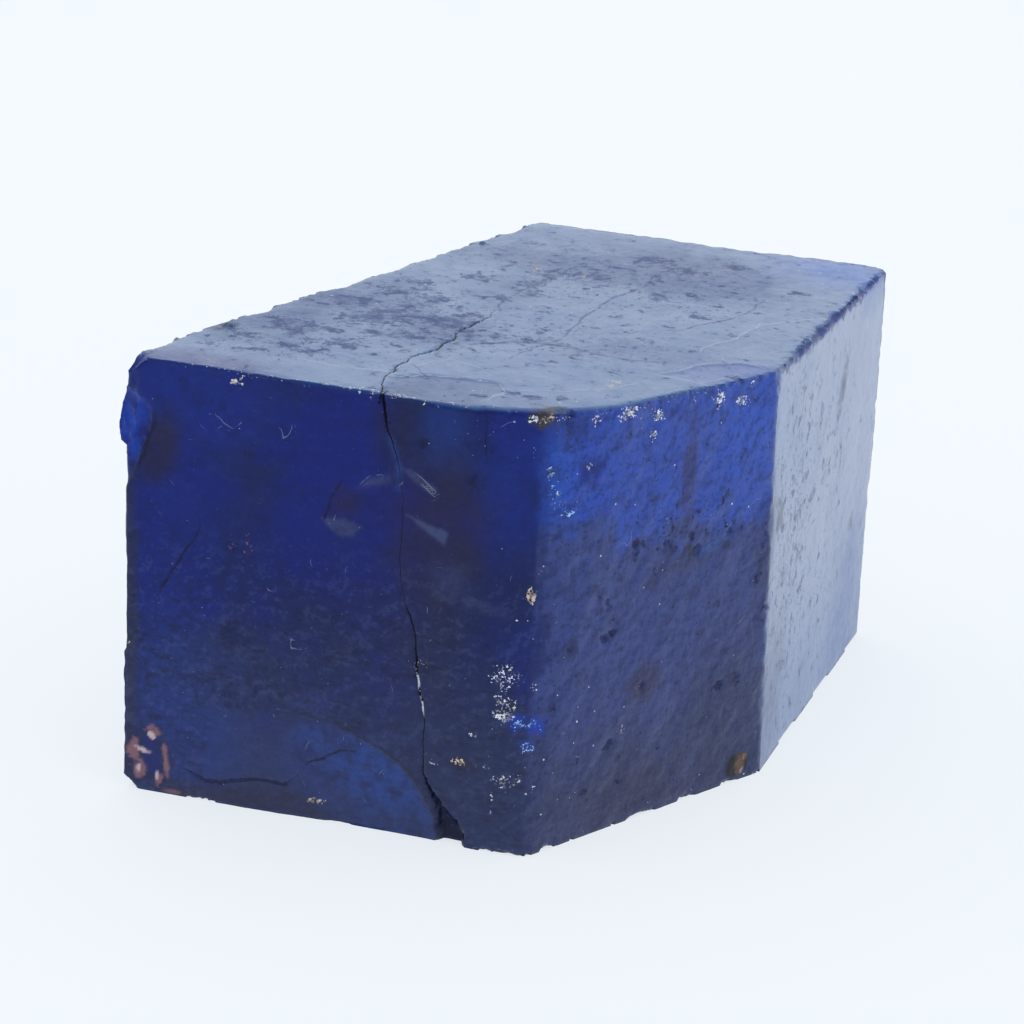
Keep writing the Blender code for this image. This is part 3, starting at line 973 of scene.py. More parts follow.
class Graph:
    """A node tree, with short calls for the nodes that the finishes use."""

    def __init__(self, tree: bpy.types.NodeTree) -> None:
        """Keep the tree that nodes are added to."""
        self.tree = tree

    def add(self, kind: str, values: dict[int | str, Input] | None = None, out: int | str = 0,
            **settings: object) -> Value:
        """Add a shader node.

        Args:
            kind: the node's type.
            values: what goes into its inputs, by index or name.
            out: the output to give back.
            settings: the node's own settings.

        Returns:
            That output.
        """
        node = self.tree.nodes.new("ShaderNode" + kind)
        for name, value in settings.items():
            setattr(node, name, value)
        for key, value in (values or {}).items():
            self.put(node.inputs[key], value)
        return Value(self, node.outputs[out])

    def put(self, socket: bpy.types.NodeSocket, value: Input) -> None:
        """Link a value to an input, or set the input's own value.

        Args:
            socket: the input.
            value: what goes into it.
        """
        if isinstance(value, Value):
            self.tree.links.new(value.socket, socket)
        else:
            socket.default_value = value

    def math(self, operation: str, *values: Input) -> Value:
        """Result of a Math node."""
        return self.add("Math", dict(enumerate(values)), operation=operation)

    def vector(self, operation: str, *values: Input) -> Value:
        """Vector result of a Vector Math node."""
        return self.add("VectorMath", dict(enumerate(values)), operation=operation)

    def scaled(self, vector: Value, factor: float) -> Value:
        """A vector times a number."""
        return self.add("VectorMath", {0: vector, "Scale": factor}, operation='SCALE')

    def noise(self, where: Value, scale: float, detail: Input = 2.0, roughness: float = 0.5,
              distortion: float = 0.0) -> Value:
        """Value of a noise texture, around a half."""
        return self.add("TexNoise", {"Vector": where, "Scale": scale, "Detail": detail,
                                     "Roughness": roughness, "Distortion": distortion})

    def ramp(self, value: Value, start: Input, end: Input, low: float = 0.0,
             high: float = 1.0) -> Value:
        """Smooth step of a value from start to end, given as low to high."""
        return self.add("MapRange", {0: value, 1: start, 2: end, 3: low, 4: high},
                        interpolation_type='SMOOTHSTEP')

    def blend(self, share: Input, first: Input, second: Input, mode: str = 'MIX') -> Value:
        """Mix of two colours."""
        return self.add("Mix", {0: share, 6: first, 7: second}, 2, data_type='RGBA',
                        blend_type=mode)

    def mix(self, share: Value, first: Input, second: Input) -> Value:
        """Mix of two values."""
        return self.add("Mix", {0: share, 2: first, 3: second})

    def most(self, first: Value, *others: Value) -> Value:
        """Greatest of some values.

        Args:
            first, others: the values.

        Returns:
            The greatest.
        """
        for other in others:
            first = self.math('MAXIMUM', first, other)
        return first

    def mark(self, name: str, out: str = "Fac") -> Value:
        """One of the piece's own marks, or a part of a painted layer."""
        return self.add("Attribute", out=out, attribute_name=name)

    def place(self, tree: bpy.types.NodeTree, **values: Input) -> Value:
        """First output of a node group placed with these inputs, named in small letters."""
        return self.add("Group", {name.title(): value for name, value in values.items()},
                        node_tree=tree)


class GroupMaker:
    """Builds the node groups that the finish shares, each of them once."""

    def __init__(self) -> None:
        """Build every group."""
        self.grains = self.make_grains()
        self.streaks = self.make_streaks()
        self.lines = self.make_lines()

    @staticmethod
    def start(name: str, inputs: dict[str, float | Triple]) -> tuple[Graph, dict[str, Value]]:
        """Begin a group that gives a mask.

        Args:
            name: the group's name.
            inputs: each input's name and value at rest; a tuple is a vector.

        Returns:
            The group's graph, and its inputs by name.
        """
        tree = bpy.data.node_groups.new(name, "ShaderNodeTree")
        for label, value in inputs.items():
            kind = "NodeSocketVector" if isinstance(value, tuple) else "NodeSocketFloat"
            socket = tree.interface.new_socket(label, in_out='INPUT', socket_type=kind)
            socket.default_value = value
        tree.interface.new_socket("Mask", in_out='OUTPUT', socket_type="NodeSocketFloat")
        graph, node = Graph(tree), tree.nodes.new("NodeGroupInput")
        return graph, {label: Value(graph, node.outputs[label]) for label in inputs}

    @staticmethod
    def close(mask: Value) -> bpy.types.NodeTree:
        """Give a value out of its group as the mask.

        Args:
            mask: the value.

        Returns:
            The finished group.
        """
        tree = mask.graph.tree
        mask.graph.put(tree.nodes.new("NodeGroupOutput").inputs["Mask"], mask)
        return tree

    def make_grains(self) -> bpy.types.NodeTree:
        """Scattered grains of many sizes, with outlines that stray.

        Returns:
            The group.
        """
        graph, given = self.start("scattered_grains", {
            "Position": (0.0, 0.0, 0.0), "Fineness": 1.0, "Grain": 0.2, "Share": 0.3,
            "Softness": 0.25, "Stray": 0.5})
        cells = graph.add("TexVoronoi", {"Vector": given["Position"], "Scale": given["Fineness"]})
        tones = graph.add("SeparateColor", {0: cells.fellow("Color")})
        size = given["Grain"] * (0.3 + graph.math('POWER', tones.fellow("Green"), 3.0))
        reach = cells + (given["Stray"] - 0.5) * given["Grain"] * 1.8
        grain = graph.ramp(reach, size * (1.0 - given["Softness"]), size, 1.0, 0.0)
        return self.close(grain * graph.math('LESS_THAN', tones, given["Share"]))

    def make_streaks(self) -> bpy.types.NodeTree:
        """Streaks drawn out along one direction.

        Returns:
            The group.
        """
        graph, given = self.start("drawn_out_streaks", {
            "Position": (0.0, 0.0, 0.0), "Turn": (0.0, 0.0, 0.0), "Size": (1.0, 1.0, 5.0),
            "Detail": 4.0, "Low": 0.4, "High": 0.7})
        turned = graph.add("VectorRotate", {"Vector": given["Position"], "Rotation": given["Turn"]},
                           rotation_type='EULER_XYZ', invert=True)
        drawn = graph.vector('DIVIDE', turned, given["Size"])
        value = graph.noise(drawn, 1.0, given["Detail"], 0.6)
        return self.close(graph.ramp(value, given["Low"], given["High"]))

    def make_lines(self) -> bpy.types.NodeTree:
        """Thin wandering lines, such as hairs.

        Returns:
            The group.
        """
        graph, given = self.start("wandering_lines", {
            "Position": (0.0, 0.0, 0.0), "Size": (1.0, 1.0, 1.0), "Thickness": 0.01,
            "Detail": 2.0})
        drawn = graph.vector('DIVIDE', given["Position"], given["Size"])
        away = abs(graph.noise(drawn, 1.0, given["Detail"], 0.55) - 0.5)
        thickness = given["Thickness"]
        return self.close(graph.ramp(away, thickness * 0.3, thickness, 1.0, 0.0))


@dataclass(frozen=True)
class Patch:
    """A placed soft-edged oval patch.

    Attributes:
        centre, size: its middle and its half sizes.
        colour: its colour.
        strength: how much of the colour is laid on.
        softness, waver: how its outline fades and strays.
        turn: its turn about X, Y and Z, in degrees.
        fine: True where the outline strays in small steps.
    """

    centre: Triple
    size: Triple
    colour: Triple
    strength: float
    softness: float
    waver: float
    turn: Triple
    fine: bool

    def mask(self, skin: Skin) -> Array:
        """Share of the patch at each point of a skin.

        Args:
            skin: the skin.

        Returns:
            The shares.
        """
        turn = Euler([math.radians(angle) for angle in self.turn]).to_matrix()
        offset = (skin.points - np.array(self.centre)) @ np.array(turn)
        reach = np.linalg.norm(offset / np.array(self.size), axis=1)
        reach += self.waver * (skin.fine if self.fine else skin.mid)
        return soft_step((1.0 + self.softness - reach) / (2.0 * self.softness)) * self.strength


USUAL_OVAL = (0.3, 0.6, 0.0)


def ovals(*rows: tuple[float | Triple, ...], fine: bool = False, axis: int = 1) -> list[Patch]:
    """Patches from rows of their choices.

    Args:
        rows: three coordinates, three half sizes, colour and strength; then softness, waver and
            the turn in degrees, as far as they aren't those of the usual oval.
        fine: True where the outlines stray in small steps.
        axis: the axis that they are turned about.

    Returns:
        The patches.
    """
    made = []
    for row in rows:
        softness, waver, angle = (*row[8:], *USUAL_OVAL[len(row) - 8:])
        turn = [0.0, 0.0, 0.0]
        turn[axis] = angle
        made.append(Patch(row[:3], row[3:6], row[6], row[7], softness, waver, tuple(turn), fine))
    return made


@dataclass(frozen=True)
class Sheet(Outline):
    """A placed patch with a drawn outline.

    Attributes:
        colour: its colour.
        strength: how much of the colour is laid on.
        softness, waver: how its outline fades and strays.
    """

    colour: Triple
    strength: float
    softness: float
    waver: float

    def mask(self, skin: Skin) -> Array:
        """Share of the patch at each point of a skin.

        Args:
            skin: the skin.

        Returns:
            The shares.
        """
        reach = self.reach(skin.points) + self.waver * (skin.fine + skin.mid)
        facing = skin.normals @ np.array(self.side.value.normal)
        share = np.clip(reach / self.softness * 0.5 + 0.5, 0.0, 1.0)
        return soft_step(share * np.clip((facing - 0.70) / 0.15, 0.0, 1.0)) * self.strength


@dataclass(frozen=True)
class Layer:
    """Patches that are laid one over another, the lowest first, and kept as one attribute."""

    name: str
    patches: tuple[Patch | Sheet, ...]

    def paint(self, mesh: bpy.types.Mesh, skin: Skin) -> None:
        """Lay the patches on a mesh: red, green and blue by share, and the share as alpha.

        Args:
            mesh: the mesh.
            skin: its points.
        """
        painted = np.zeros((len(skin.points), 4))
        for patch in self.patches:
            share = patch.mask(skin)[:, None]
            painted = painted * (1.0 - share) + np.array((*patch.colour, 1.0)) * share
        write_mark(mesh, self.name, painted)


@dataclass(frozen=True)
class StoneFinish:
    """Finish of the stone: the colours of its zones and what lies in and on it."""

    front: Colour = (0.0034, 0.0110, 0.146, 1.0)
    front_dull: Colour = (0.0060, 0.0140, 0.088, 1.0)
    front_low: Colour = (0.0200, 0.0330, 0.104, 1.0)
    # corner_painted_glow: painted glow of light through the stone, high on the corner cut
    corner_painted_glow: Colour = (0.0150, 0.0580, 0.370, 1.0)
    corner_dull: Colour = (0.0260, 0.0450, 0.190, 1.0)
    corner_low: Colour = (0.0250, 0.0350, 0.110, 1.0)
    top: Colour = (0.0080, 0.0960, 0.280, 1.0)
    top_dull: Colour = (0.0030, 0.0440, 0.190, 1.0)
    side: Colour = (0.0550, 0.1350, 0.350, 1.0)
    navy: Colour = (0.0050, 0.0110, 0.070, 1.0)
    shadow: Colour = (0.0040, 0.0060, 0.024, 1.0)
    # haze_and_sheen: pale grey-blue, partly painted sheen and highlight on the lit flanks of bumps,
    # partly pale streaks and spots of the skin
    haze_and_sheen: Colour = (0.0900, 0.1200, 0.300, 1.0)
    cream: Colour = (0.4200, 0.4400, 0.480, 1.0)
    # pit_top: darker colour of the pits on the top, painted shade
    pit_top: Colour = (0.0060, 0.0320, 0.160, 1.0)
    black: Colour = (0.0020, 0.0020, 0.006, 1.0)
    chip: Colour = (0.0090, 0.0240, 0.165, 1.0)
    seam: Colour = (0.0040, 0.0060, 0.034, 1.0)
    # gap: painted shade in the deep broken gap
    gap: Colour = (0.0030, 0.0050, 0.022, 1.0)
    # scar_bright and scar_dull: painted glow of light through the stone on the fracture's floor
    scar_bright: Colour = (0.0150, 0.0480, 0.235, 1.0)
    scar_dull: Colour = (0.0110, 0.0260, 0.125, 1.0)
    # facet: painted glow of light through the thin broken facet
    facet: Colour = (0.0060, 0.0400, 0.340, 1.0)
    filling: Colour = (0.6200, 0.6600, 0.740, 1.0)
    # dust: white of the lone specks, partly dust and partly painted glints
    dust: Colour = (0.5500, 0.5900, 0.680, 1.0)
    crumb_rim: Colour = (0.4500, 0.5000, 0.620, 1.0)
    stone_ior: float = 1.69
    body_sheen: float = 0.10
    film_roughness: float = 0.20
    blotches: tuple[Triple, ...] = (
        (-11.2, -13.2, 0.5), (-11.0, -10.6, 0.4), (-9.3, -8.3, 0.9), (-8.9, -9.4, 0.6),
        (-9.0, -12.8, 0.4), (-7.4, -12.0, 0.7), (-7.8, -8.5, 0.7), (-7.4, -6.8, 0.6),
        (-6.5, -5.5, 1.0), (-6.9, -0.7, 0.7), (-6.4, 1.5, 0.7), (-6.3, -3.9, 0.8),
        (-4.9, -5.0, 0.8), (-4.8, -1.0, 0.7), (-2.9, -4.3, 0.9), (-1.6, -5.9, 0.5),
        (-6.0, -10.2, 0.7), (-10.1, -11.1, 0.5), (-5.4, -8.0, 0.5), (-4.2, 3.6, 0.8),
        (-8.4, -3.4, 0.8), (-3.6, -7.6, 0.4), (-1.0, 2.2, 0.6), (0.8, 7.0, 0.9),
        (9.3, 0.1, 0.5), (10.8, -6.6, 0.4), (4.6, 4.5, 0.6), (7.1, 2.3, 0.5),
        (3.0, -8.4, 0.3), (6.0, -3.0, 0.4), (10.6, 9.0, 0.6), (2.6, 11.4, 1.0),
        (4.6, 10.2, 1.0), (6.4, 12.4, 0.8), (-1.2, 6.0, 0.7),
        (2.9, -13.9, 0.5), (3.9, -14.0, 0.5), (4.9, -13.4, 0.4), (1.6, -14.6, 0.4),
        (-0.3, -5.5, 0.5), (1.3, -5.4, 0.5), (2.6, -5.5, 0.4), (-2.5, -2.8, 0.6),
        (-2.2, 0.7, 0.6), (-1.6, 3.8, 0.7))

    def zone_layer(self) -> Layer:
        """Brighter and duller zones and the inclusions. The bright blue zones near the upper edges are
        painted glow of light passing through the stone, the shadow patches in two front pits are
        painted shade, and a darker patch low at the back of the right side is painted shade.

        Returns:
            The layer.
        """
        # royal_glow and bright: colours of painted glow of light passing through the stone near its
        # upper edges.
        royal_glow, bright = (0.004, 0.018, 0.180), (0.012, 0.070, 0.420)
        navy, shadow = self.navy[:3], self.shadow[:3]
        square, veil = (0.014, 0.024, 0.110), (0.040, 0.054, 0.145)
        deep, grey, umber = (0.006, 0.026, 0.180), (0.020, 0.025, 0.050), (0.020, 0.014, 0.028)
        return Layer("zone", (
            *ovals(
                (-11.4, -16.3, 13.5, 2.4, 2.0, 5.0, royal_glow, 0.5, 0.8),
                (-10.6, -16.3, 18.9, 3.6, 2.0, 2.2, royal_glow, 0.9, 0.7),
                (-10.6, -16.3, 4.6, 2.4, 2.0, 3.6, deep, 0.8, 0.6),
                (3.8, -16.3, 17.2, 1.7, 2.0, 3.4, royal_glow, 0.8, 0.6),
                (0.7, -16.3, 18.7, 1.1, 2.0, 1.5, (0.006, 0.026, 0.165), 0.9, 0.6),
                (-8.6, -16.3, 12.2, 2.6, 2.0, 2.6, (0.005, 0.014, 0.125), 0.6, 0.8),
                (11.4, -5.6, 17.4, 1.3, 2.2, 2.0, (0.018, 0.080, 0.460), 0.6, 0.8),
                (11.8, 14.6, 19.8, 3.2, 3.0, 1.2, (0.010, 0.100, 0.420), 0.8, 0.8),
                # Painted shade, low at the back of the right side.
                (13.4, 12.4, 4.0, 1.0, 3.4, 4.5, (0.040, 0.100, 0.330), 0.45, 0.8),
                (0.7, -16.3, 14.6, 1.9, 2.0, 3.2, umber, 0.6, 0.7),
                (-1.2, -16.3, 18.8, 0.9, 2.0, 1.9, (0.010, 0.012, 0.030), 0.6, 0.7),
                (-0.6, -16.3, 9.6, 3.0, 2.0, 3.6, (0.016, 0.020, 0.050), 0.5, 0.8),
                (2.4, -16.3, 3.4, 3.4, 2.0, 4.2, (0.012, 0.020, 0.070), 0.5, 0.8),
                (-12.1, -16.3, 16.3, 0.9, 2.0, 1.7, (0.016, 0.014, 0.030), 0.75, 0.6, 0.6, 18.0),
                (-13.40, -16.3, 8.0, 0.40, 2.0, 7.0, grey, 0.75, 0.5)),
            Sheet(Side.FRONT, (-11.6, 0.8, -9.7, 0.85, -8.9, 0.85, -8.0, 1.15, -7.0, 1.35,
                  -5.9, 1.3, -4.0, 0.6, -3.0, -0.5, -11.8, -0.5), umber, 0.65, 0.5, 0.4),
            *ovals(
                (-8.0, -16.3, 6.0, 3.0, 1.6, 2.2, (0.016, 0.026, 0.070), 0.5, 0.8)),
            Sheet(Side.FRONT, (3.4, 8.9, 3.7, 10.0, 4.3, 10.7, 5.2, 11.0, 5.9, 10.6, 6.0, 9.3,
                  5.3, 8.3, 4.2, 8.1), (0.005, 0.016, 0.130), 0.8, 0.35, 0.4),
            *ovals(
                (11.4, -5.4, 3.6, 3.0, 3.6, 4.0, grey, 0.35, 0.8),
                (8.4, -11.0, 1.4, 3.4, 3.4, 1.8, (0.030, 0.026, 0.060), 0.5, 0.8),
                (8.6, -10.6, 6.7, 0.8, 0.9, 0.9, (0.024, 0.020, 0.055), 0.7, 0.7),
                (10.0, -8.3, 12.0, 1.7, 2.0, 0.55, (0.016, 0.022, 0.080), 0.6, 0.8, 0.9, -12.0),
                (12.3, -4.0, 11.6, 0.5, 0.9, 3.0, (0.014, 0.022, 0.080), 0.6, 0.7),
                (9.7, -9.0, 16.8, 0.30, 0.5, 2.2, (0.024, 0.026, 0.100), 0.7, 0.7, 0.9),
                (6.2, -15.0, 19.3, 0.9, 1.2, 0.8, (0.008, 0.024, 0.180), 0.7, 0.6),
                # Painted glow on the prow, high up.
                (5.7, -16.0, 17.2, 0.8, 1.3, 2.5, bright, 0.75, 0.6)),
            *ovals(
                (6.1, -15.0, 12.2, 0.42, 0.6, 0.40, square, 0.55, 0.3, 1.4),
                (6.35, -14.5, 9.4, 0.46, 0.6, 0.42, square, 0.9, 0.25, 1.2),
                (6.9, -13.6, 11.9, 0.30, 0.5, 0.28, square, 0.5, 0.3, 1.4),
                (7.15, -13.2, 10.85, 0.30, 0.5, 0.18, square, 0.85, 0.25, 1.2, -30.0),
                (7.15, -13.2, 9.95, 0.18, 0.28, 0.16, navy, 0.85, 0.25, 1.2),
                (7.45, -12.6, 9.45, 0.24, 0.36, 0.18, navy, 0.9, 0.25, 1.2, 25.0),
                (7.85, -11.95, 8.65, 0.14, 0.22, 0.15, navy, 0.9, 0.25, 1.2),
                (7.6, -12.5, 11.4, 0.12, 0.20, 0.20, navy, 0.8, 0.3, 1.2, -30.0),
                (8.7, -10.5, 11.3, 0.36, 0.55, 0.30, square, 0.85, 0.3, 1.4),
                (10.0, -8.3, 10.3, 0.42, 0.6, 0.36, square, 0.6, 0.5, 1.4),
                (8.15, -11.6, 13.5, 0.24, 0.36, 0.30, navy, 0.9, 0.3, 1.4),
                (9.1, -9.9, 12.8, 0.34, 0.5, 0.22, navy, 0.6, 0.4, 1.6),
                (9.9, -8.5, 12.4, 0.36, 0.5, 0.24, (0.008, 0.010, 0.030), 0.75, 0.4, 1.8),
                (11.1, -6.4, 12.2, 0.26, 0.4, 0.20, navy, 0.7, 0.4, 1.6),
                (8.6, -10.8, 15.3, 0.16, 0.3, 0.30, navy, 0.7, 0.4, 1.4, 35.0), fine=True),
            Sheet(Side.CORNER, (-4.0, 15.5, -5.3, 14.4, -6.9, 12.9, -8.0, 12.3, -8.0, 12.05,
                  -6.8, 12.4, -5.2, 13.8, -3.9, 15.0), (0.030, 0.090, 0.360), 0.55, 0.3, 0.3),
            *ovals(
                (6.7, -14.35, 17.35, 0.40, 0.70, 0.62, (0.004, 0.016, 0.190), 0.9, 0.4, 1.2),
                (-0.1, -16.3, 18.3, 0.20, 0.5, 0.24, shadow, 0.7, 0.4, 1.2),
                (2.1, -16.3, 16.8, 0.26, 0.5, 0.28, shadow, 0.7, 0.4, 1.4), fine=True),
            Sheet(Side.FRONT, (-3.8, 15.8, -2.6, 15.4, -3.0, 14.6, -4.2, 14.4),
                  umber, 0.55, 0.5, 0.2),
            Sheet(Side.FRONT, (-4.55, 14.25, -3.5, 14.35, -2.7, 14.1, -3.1, 13.65, -3.7, 13.5,
                  -4.1, 13.75), veil, 0.75, 0.14, 0.1),
            Sheet(Side.FRONT, (-0.75, 14.98, 0.2, 14.72, 1.15, 14.45, 1.0, 13.85, 0.1, 14.4),
                  veil, 0.95, 0.10, 0.1),
            Sheet(Side.FRONT, (-2.95, 15.9, -2.5, 16.35, -1.5, 16.6, -1.5, 16.3, -2.3, 16.0),
                  veil, 0.7, 0.22, 0.1),
            Sheet(Side.FRONT, (-1.0, 16.95, -0.6, 17.0, 0.5, 16.3, 0.4, 16.0, -0.4, 16.45),
                  veil, 0.9, 0.14, 0.1),
            Sheet(Side.FRONT, (-1.75, 18.4, -1.5, 18.2, -1.0, 17.0, -1.05, 16.0, -1.25, 16.0,
                  -1.35, 17.1), (0.016, 0.040, 0.180), 0.9, 0.16, 0.1),
            Sheet(Side.FRONT, (0.65, 12.75, 1.9, 12.95, 1.9, 12.0, 1.2, 11.55, 0.7, 11.8),
                  veil, 0.4, 0.7, 0.5),
            *ovals(
                (2.4, -16.3, 11.4, 1.3, 0.8, 0.28, veil, 0.45, 0.7, 0.9, 10.0)),
            Sheet(Side.TOP, (-2.4, -13.8, -1.1, -12.9, 0.6, -12.6, 1.9, -12.5, 2.5, -13.7,
                  2.1, -15.4, 2.4, -17.5, -2.2, -17.5), (0.006, 0.050, 0.200), 0.6, 0.3, 0.2),
            Sheet(Side.TOP, (8.4, -6.8, 9.0, -5.5, 10.6, -4.3, 12.0, -4.6, 12.6, -6.0, 10.0, -8.6,
                  8.8, -8.0), (0.022, 0.070, 0.330), 0.5, 0.5, 0.5),
            *ovals(
                (-11.75, -10.1, 20.2, 0.8, 0.9, 0.7, (0.003, 0.050, 0.125), 0.95, 0.25)),
            *ovals(
                (13.05, 8.4, 15.6, 0.6, 0.42, 1.5, (0.020, 0.040, 0.130), 0.85, 0.6, 1.6, -20.0),
                (12.7, -2.6, 12.6, 0.6, 0.55, 0.9, (0.020, 0.035, 0.110), 0.85, 0.6, 2.4),
                (13.4, 12.6, 7.5, 0.6, 0.42, 0.45, (0.020, 0.050, 0.170), 0.85, 0.5, 1.4),
                fine=True, axis=0),
            *ovals(
                (12.6, -1.5, 4.0, 0.6, 1.6, 4.5, (0.030, 0.055, 0.160), 0.4, 0.8))))

    def inclusion_layer(self) -> Layer:
        """The ring near the foot and the brown grain, with painted highlights on both.

        Returns:
            The layer.
        """
        # pale: colour of the painted highlights on the ring.
        pink, pale = (0.200, 0.100, 0.130), (0.520, 0.400, 0.430)
        blue = (0.006, 0.014, 0.120)
        return Layer("inclusion", (
            *ovals(
                (-12.45, -16.3, 1.7, 1.15, 1.2, 1.55, (0.004, 0.008, 0.050), 0.6, 0.20, 1.0, -8.0),
                (-13.05, -16.3, 1.75, 0.32, 0.9, 0.62, pink, 0.9, 0.3, 1.3, -8.0),
                (-12.75, -16.3, 0.95, 0.24, 0.9, 0.36, pink, 0.9, 0.3, 1.3, 30.0),
                (-12.20, -16.3, 2.95, 0.40, 0.9, 0.20, pink, 0.85, 0.3, 1.5, 35.0),
                (-11.55, -16.3, 1.65, 0.14, 0.9, 0.80, pink, 0.9, 0.35, 1.3, -6.0),
                (-11.85, -16.3, 0.65, 0.16, 0.9, 0.34, pink, 0.85, 0.35, 1.3, 30.0),
                (-12.22, -16.3, 1.75, 0.38, 1.0, 0.95, blue, 0.9, 0.25, 1.2, -8.0),
                # Painted highlights on the ring.
                (-12.70, -16.3, 1.95, 0.34, 0.8, 0.12, pale, 0.9, 0.4, 1.3, 12.0),
                (-12.25, -16.3, 2.75, 0.22, 0.8, 0.12, pale, 0.9, 0.4, 1.3, 40.0),
                (-12.85, -16.3, 1.05, 0.10, 0.8, 0.18, pale, 0.8, 0.4, 1.3),
                (-11.95, -16.3, 0.80, 0.08, 0.8, 0.16, pale, 0.8, 0.4, 1.3),
                (-11.1, -16.3, 0.15, 0.40, 0.6, 0.12, pink, 0.7, 0.5, 1.4), fine=True),
            *ovals(
                (11.90, -4.50, 0.85, 0.60, 0.80, 0.66, (0.006, 0.005, 0.008), 0.95, 0.18, 0.5)),
            *ovals(
                (12.02, -4.25, 0.85, 0.34, 0.42, 0.50, (0.100, 0.055, 0.034), 0.95, 0.3, 1.0),
                # Painted highlight streak on the brown grain.
                (12.10, -4.10, 1.05, 0.14, 0.20, 0.30, (0.330, 0.200, 0.120), 0.8, 0.4, 1.6),
                (12.10, -4.05, 0.45, 0.12, 0.20, 0.12, (0.300, 0.260, 0.280), 0.8, 0.4, 1.6),
                (4.9, -15.35, 19.82, 0.62, 0.9, 0.36, (0.042, 0.036, 0.032), 0.92, 0.45, 1.4),
                (2.1, -16.3, 4.0, 0.50, 0.8, 0.26, (0.020, 0.016, 0.022), 0.7, 0.5, 1.8),
                (4.6, -16.3, 6.2, 0.30, 1.0, 0.36, (0.006, 0.040, 0.380), 0.7, 0.6, 1.6),
                (5.32, -15.8, 6.1, 0.32, 1.0, 0.40, (0.006, 0.040, 0.380), 0.8, 0.6, 1.6, 30.0),
                (5.0, -16.3, 5.2, 0.26, 1.0, 0.24, (0.006, 0.040, 0.380), 0.5, 0.6, 1.6), fine=True)))

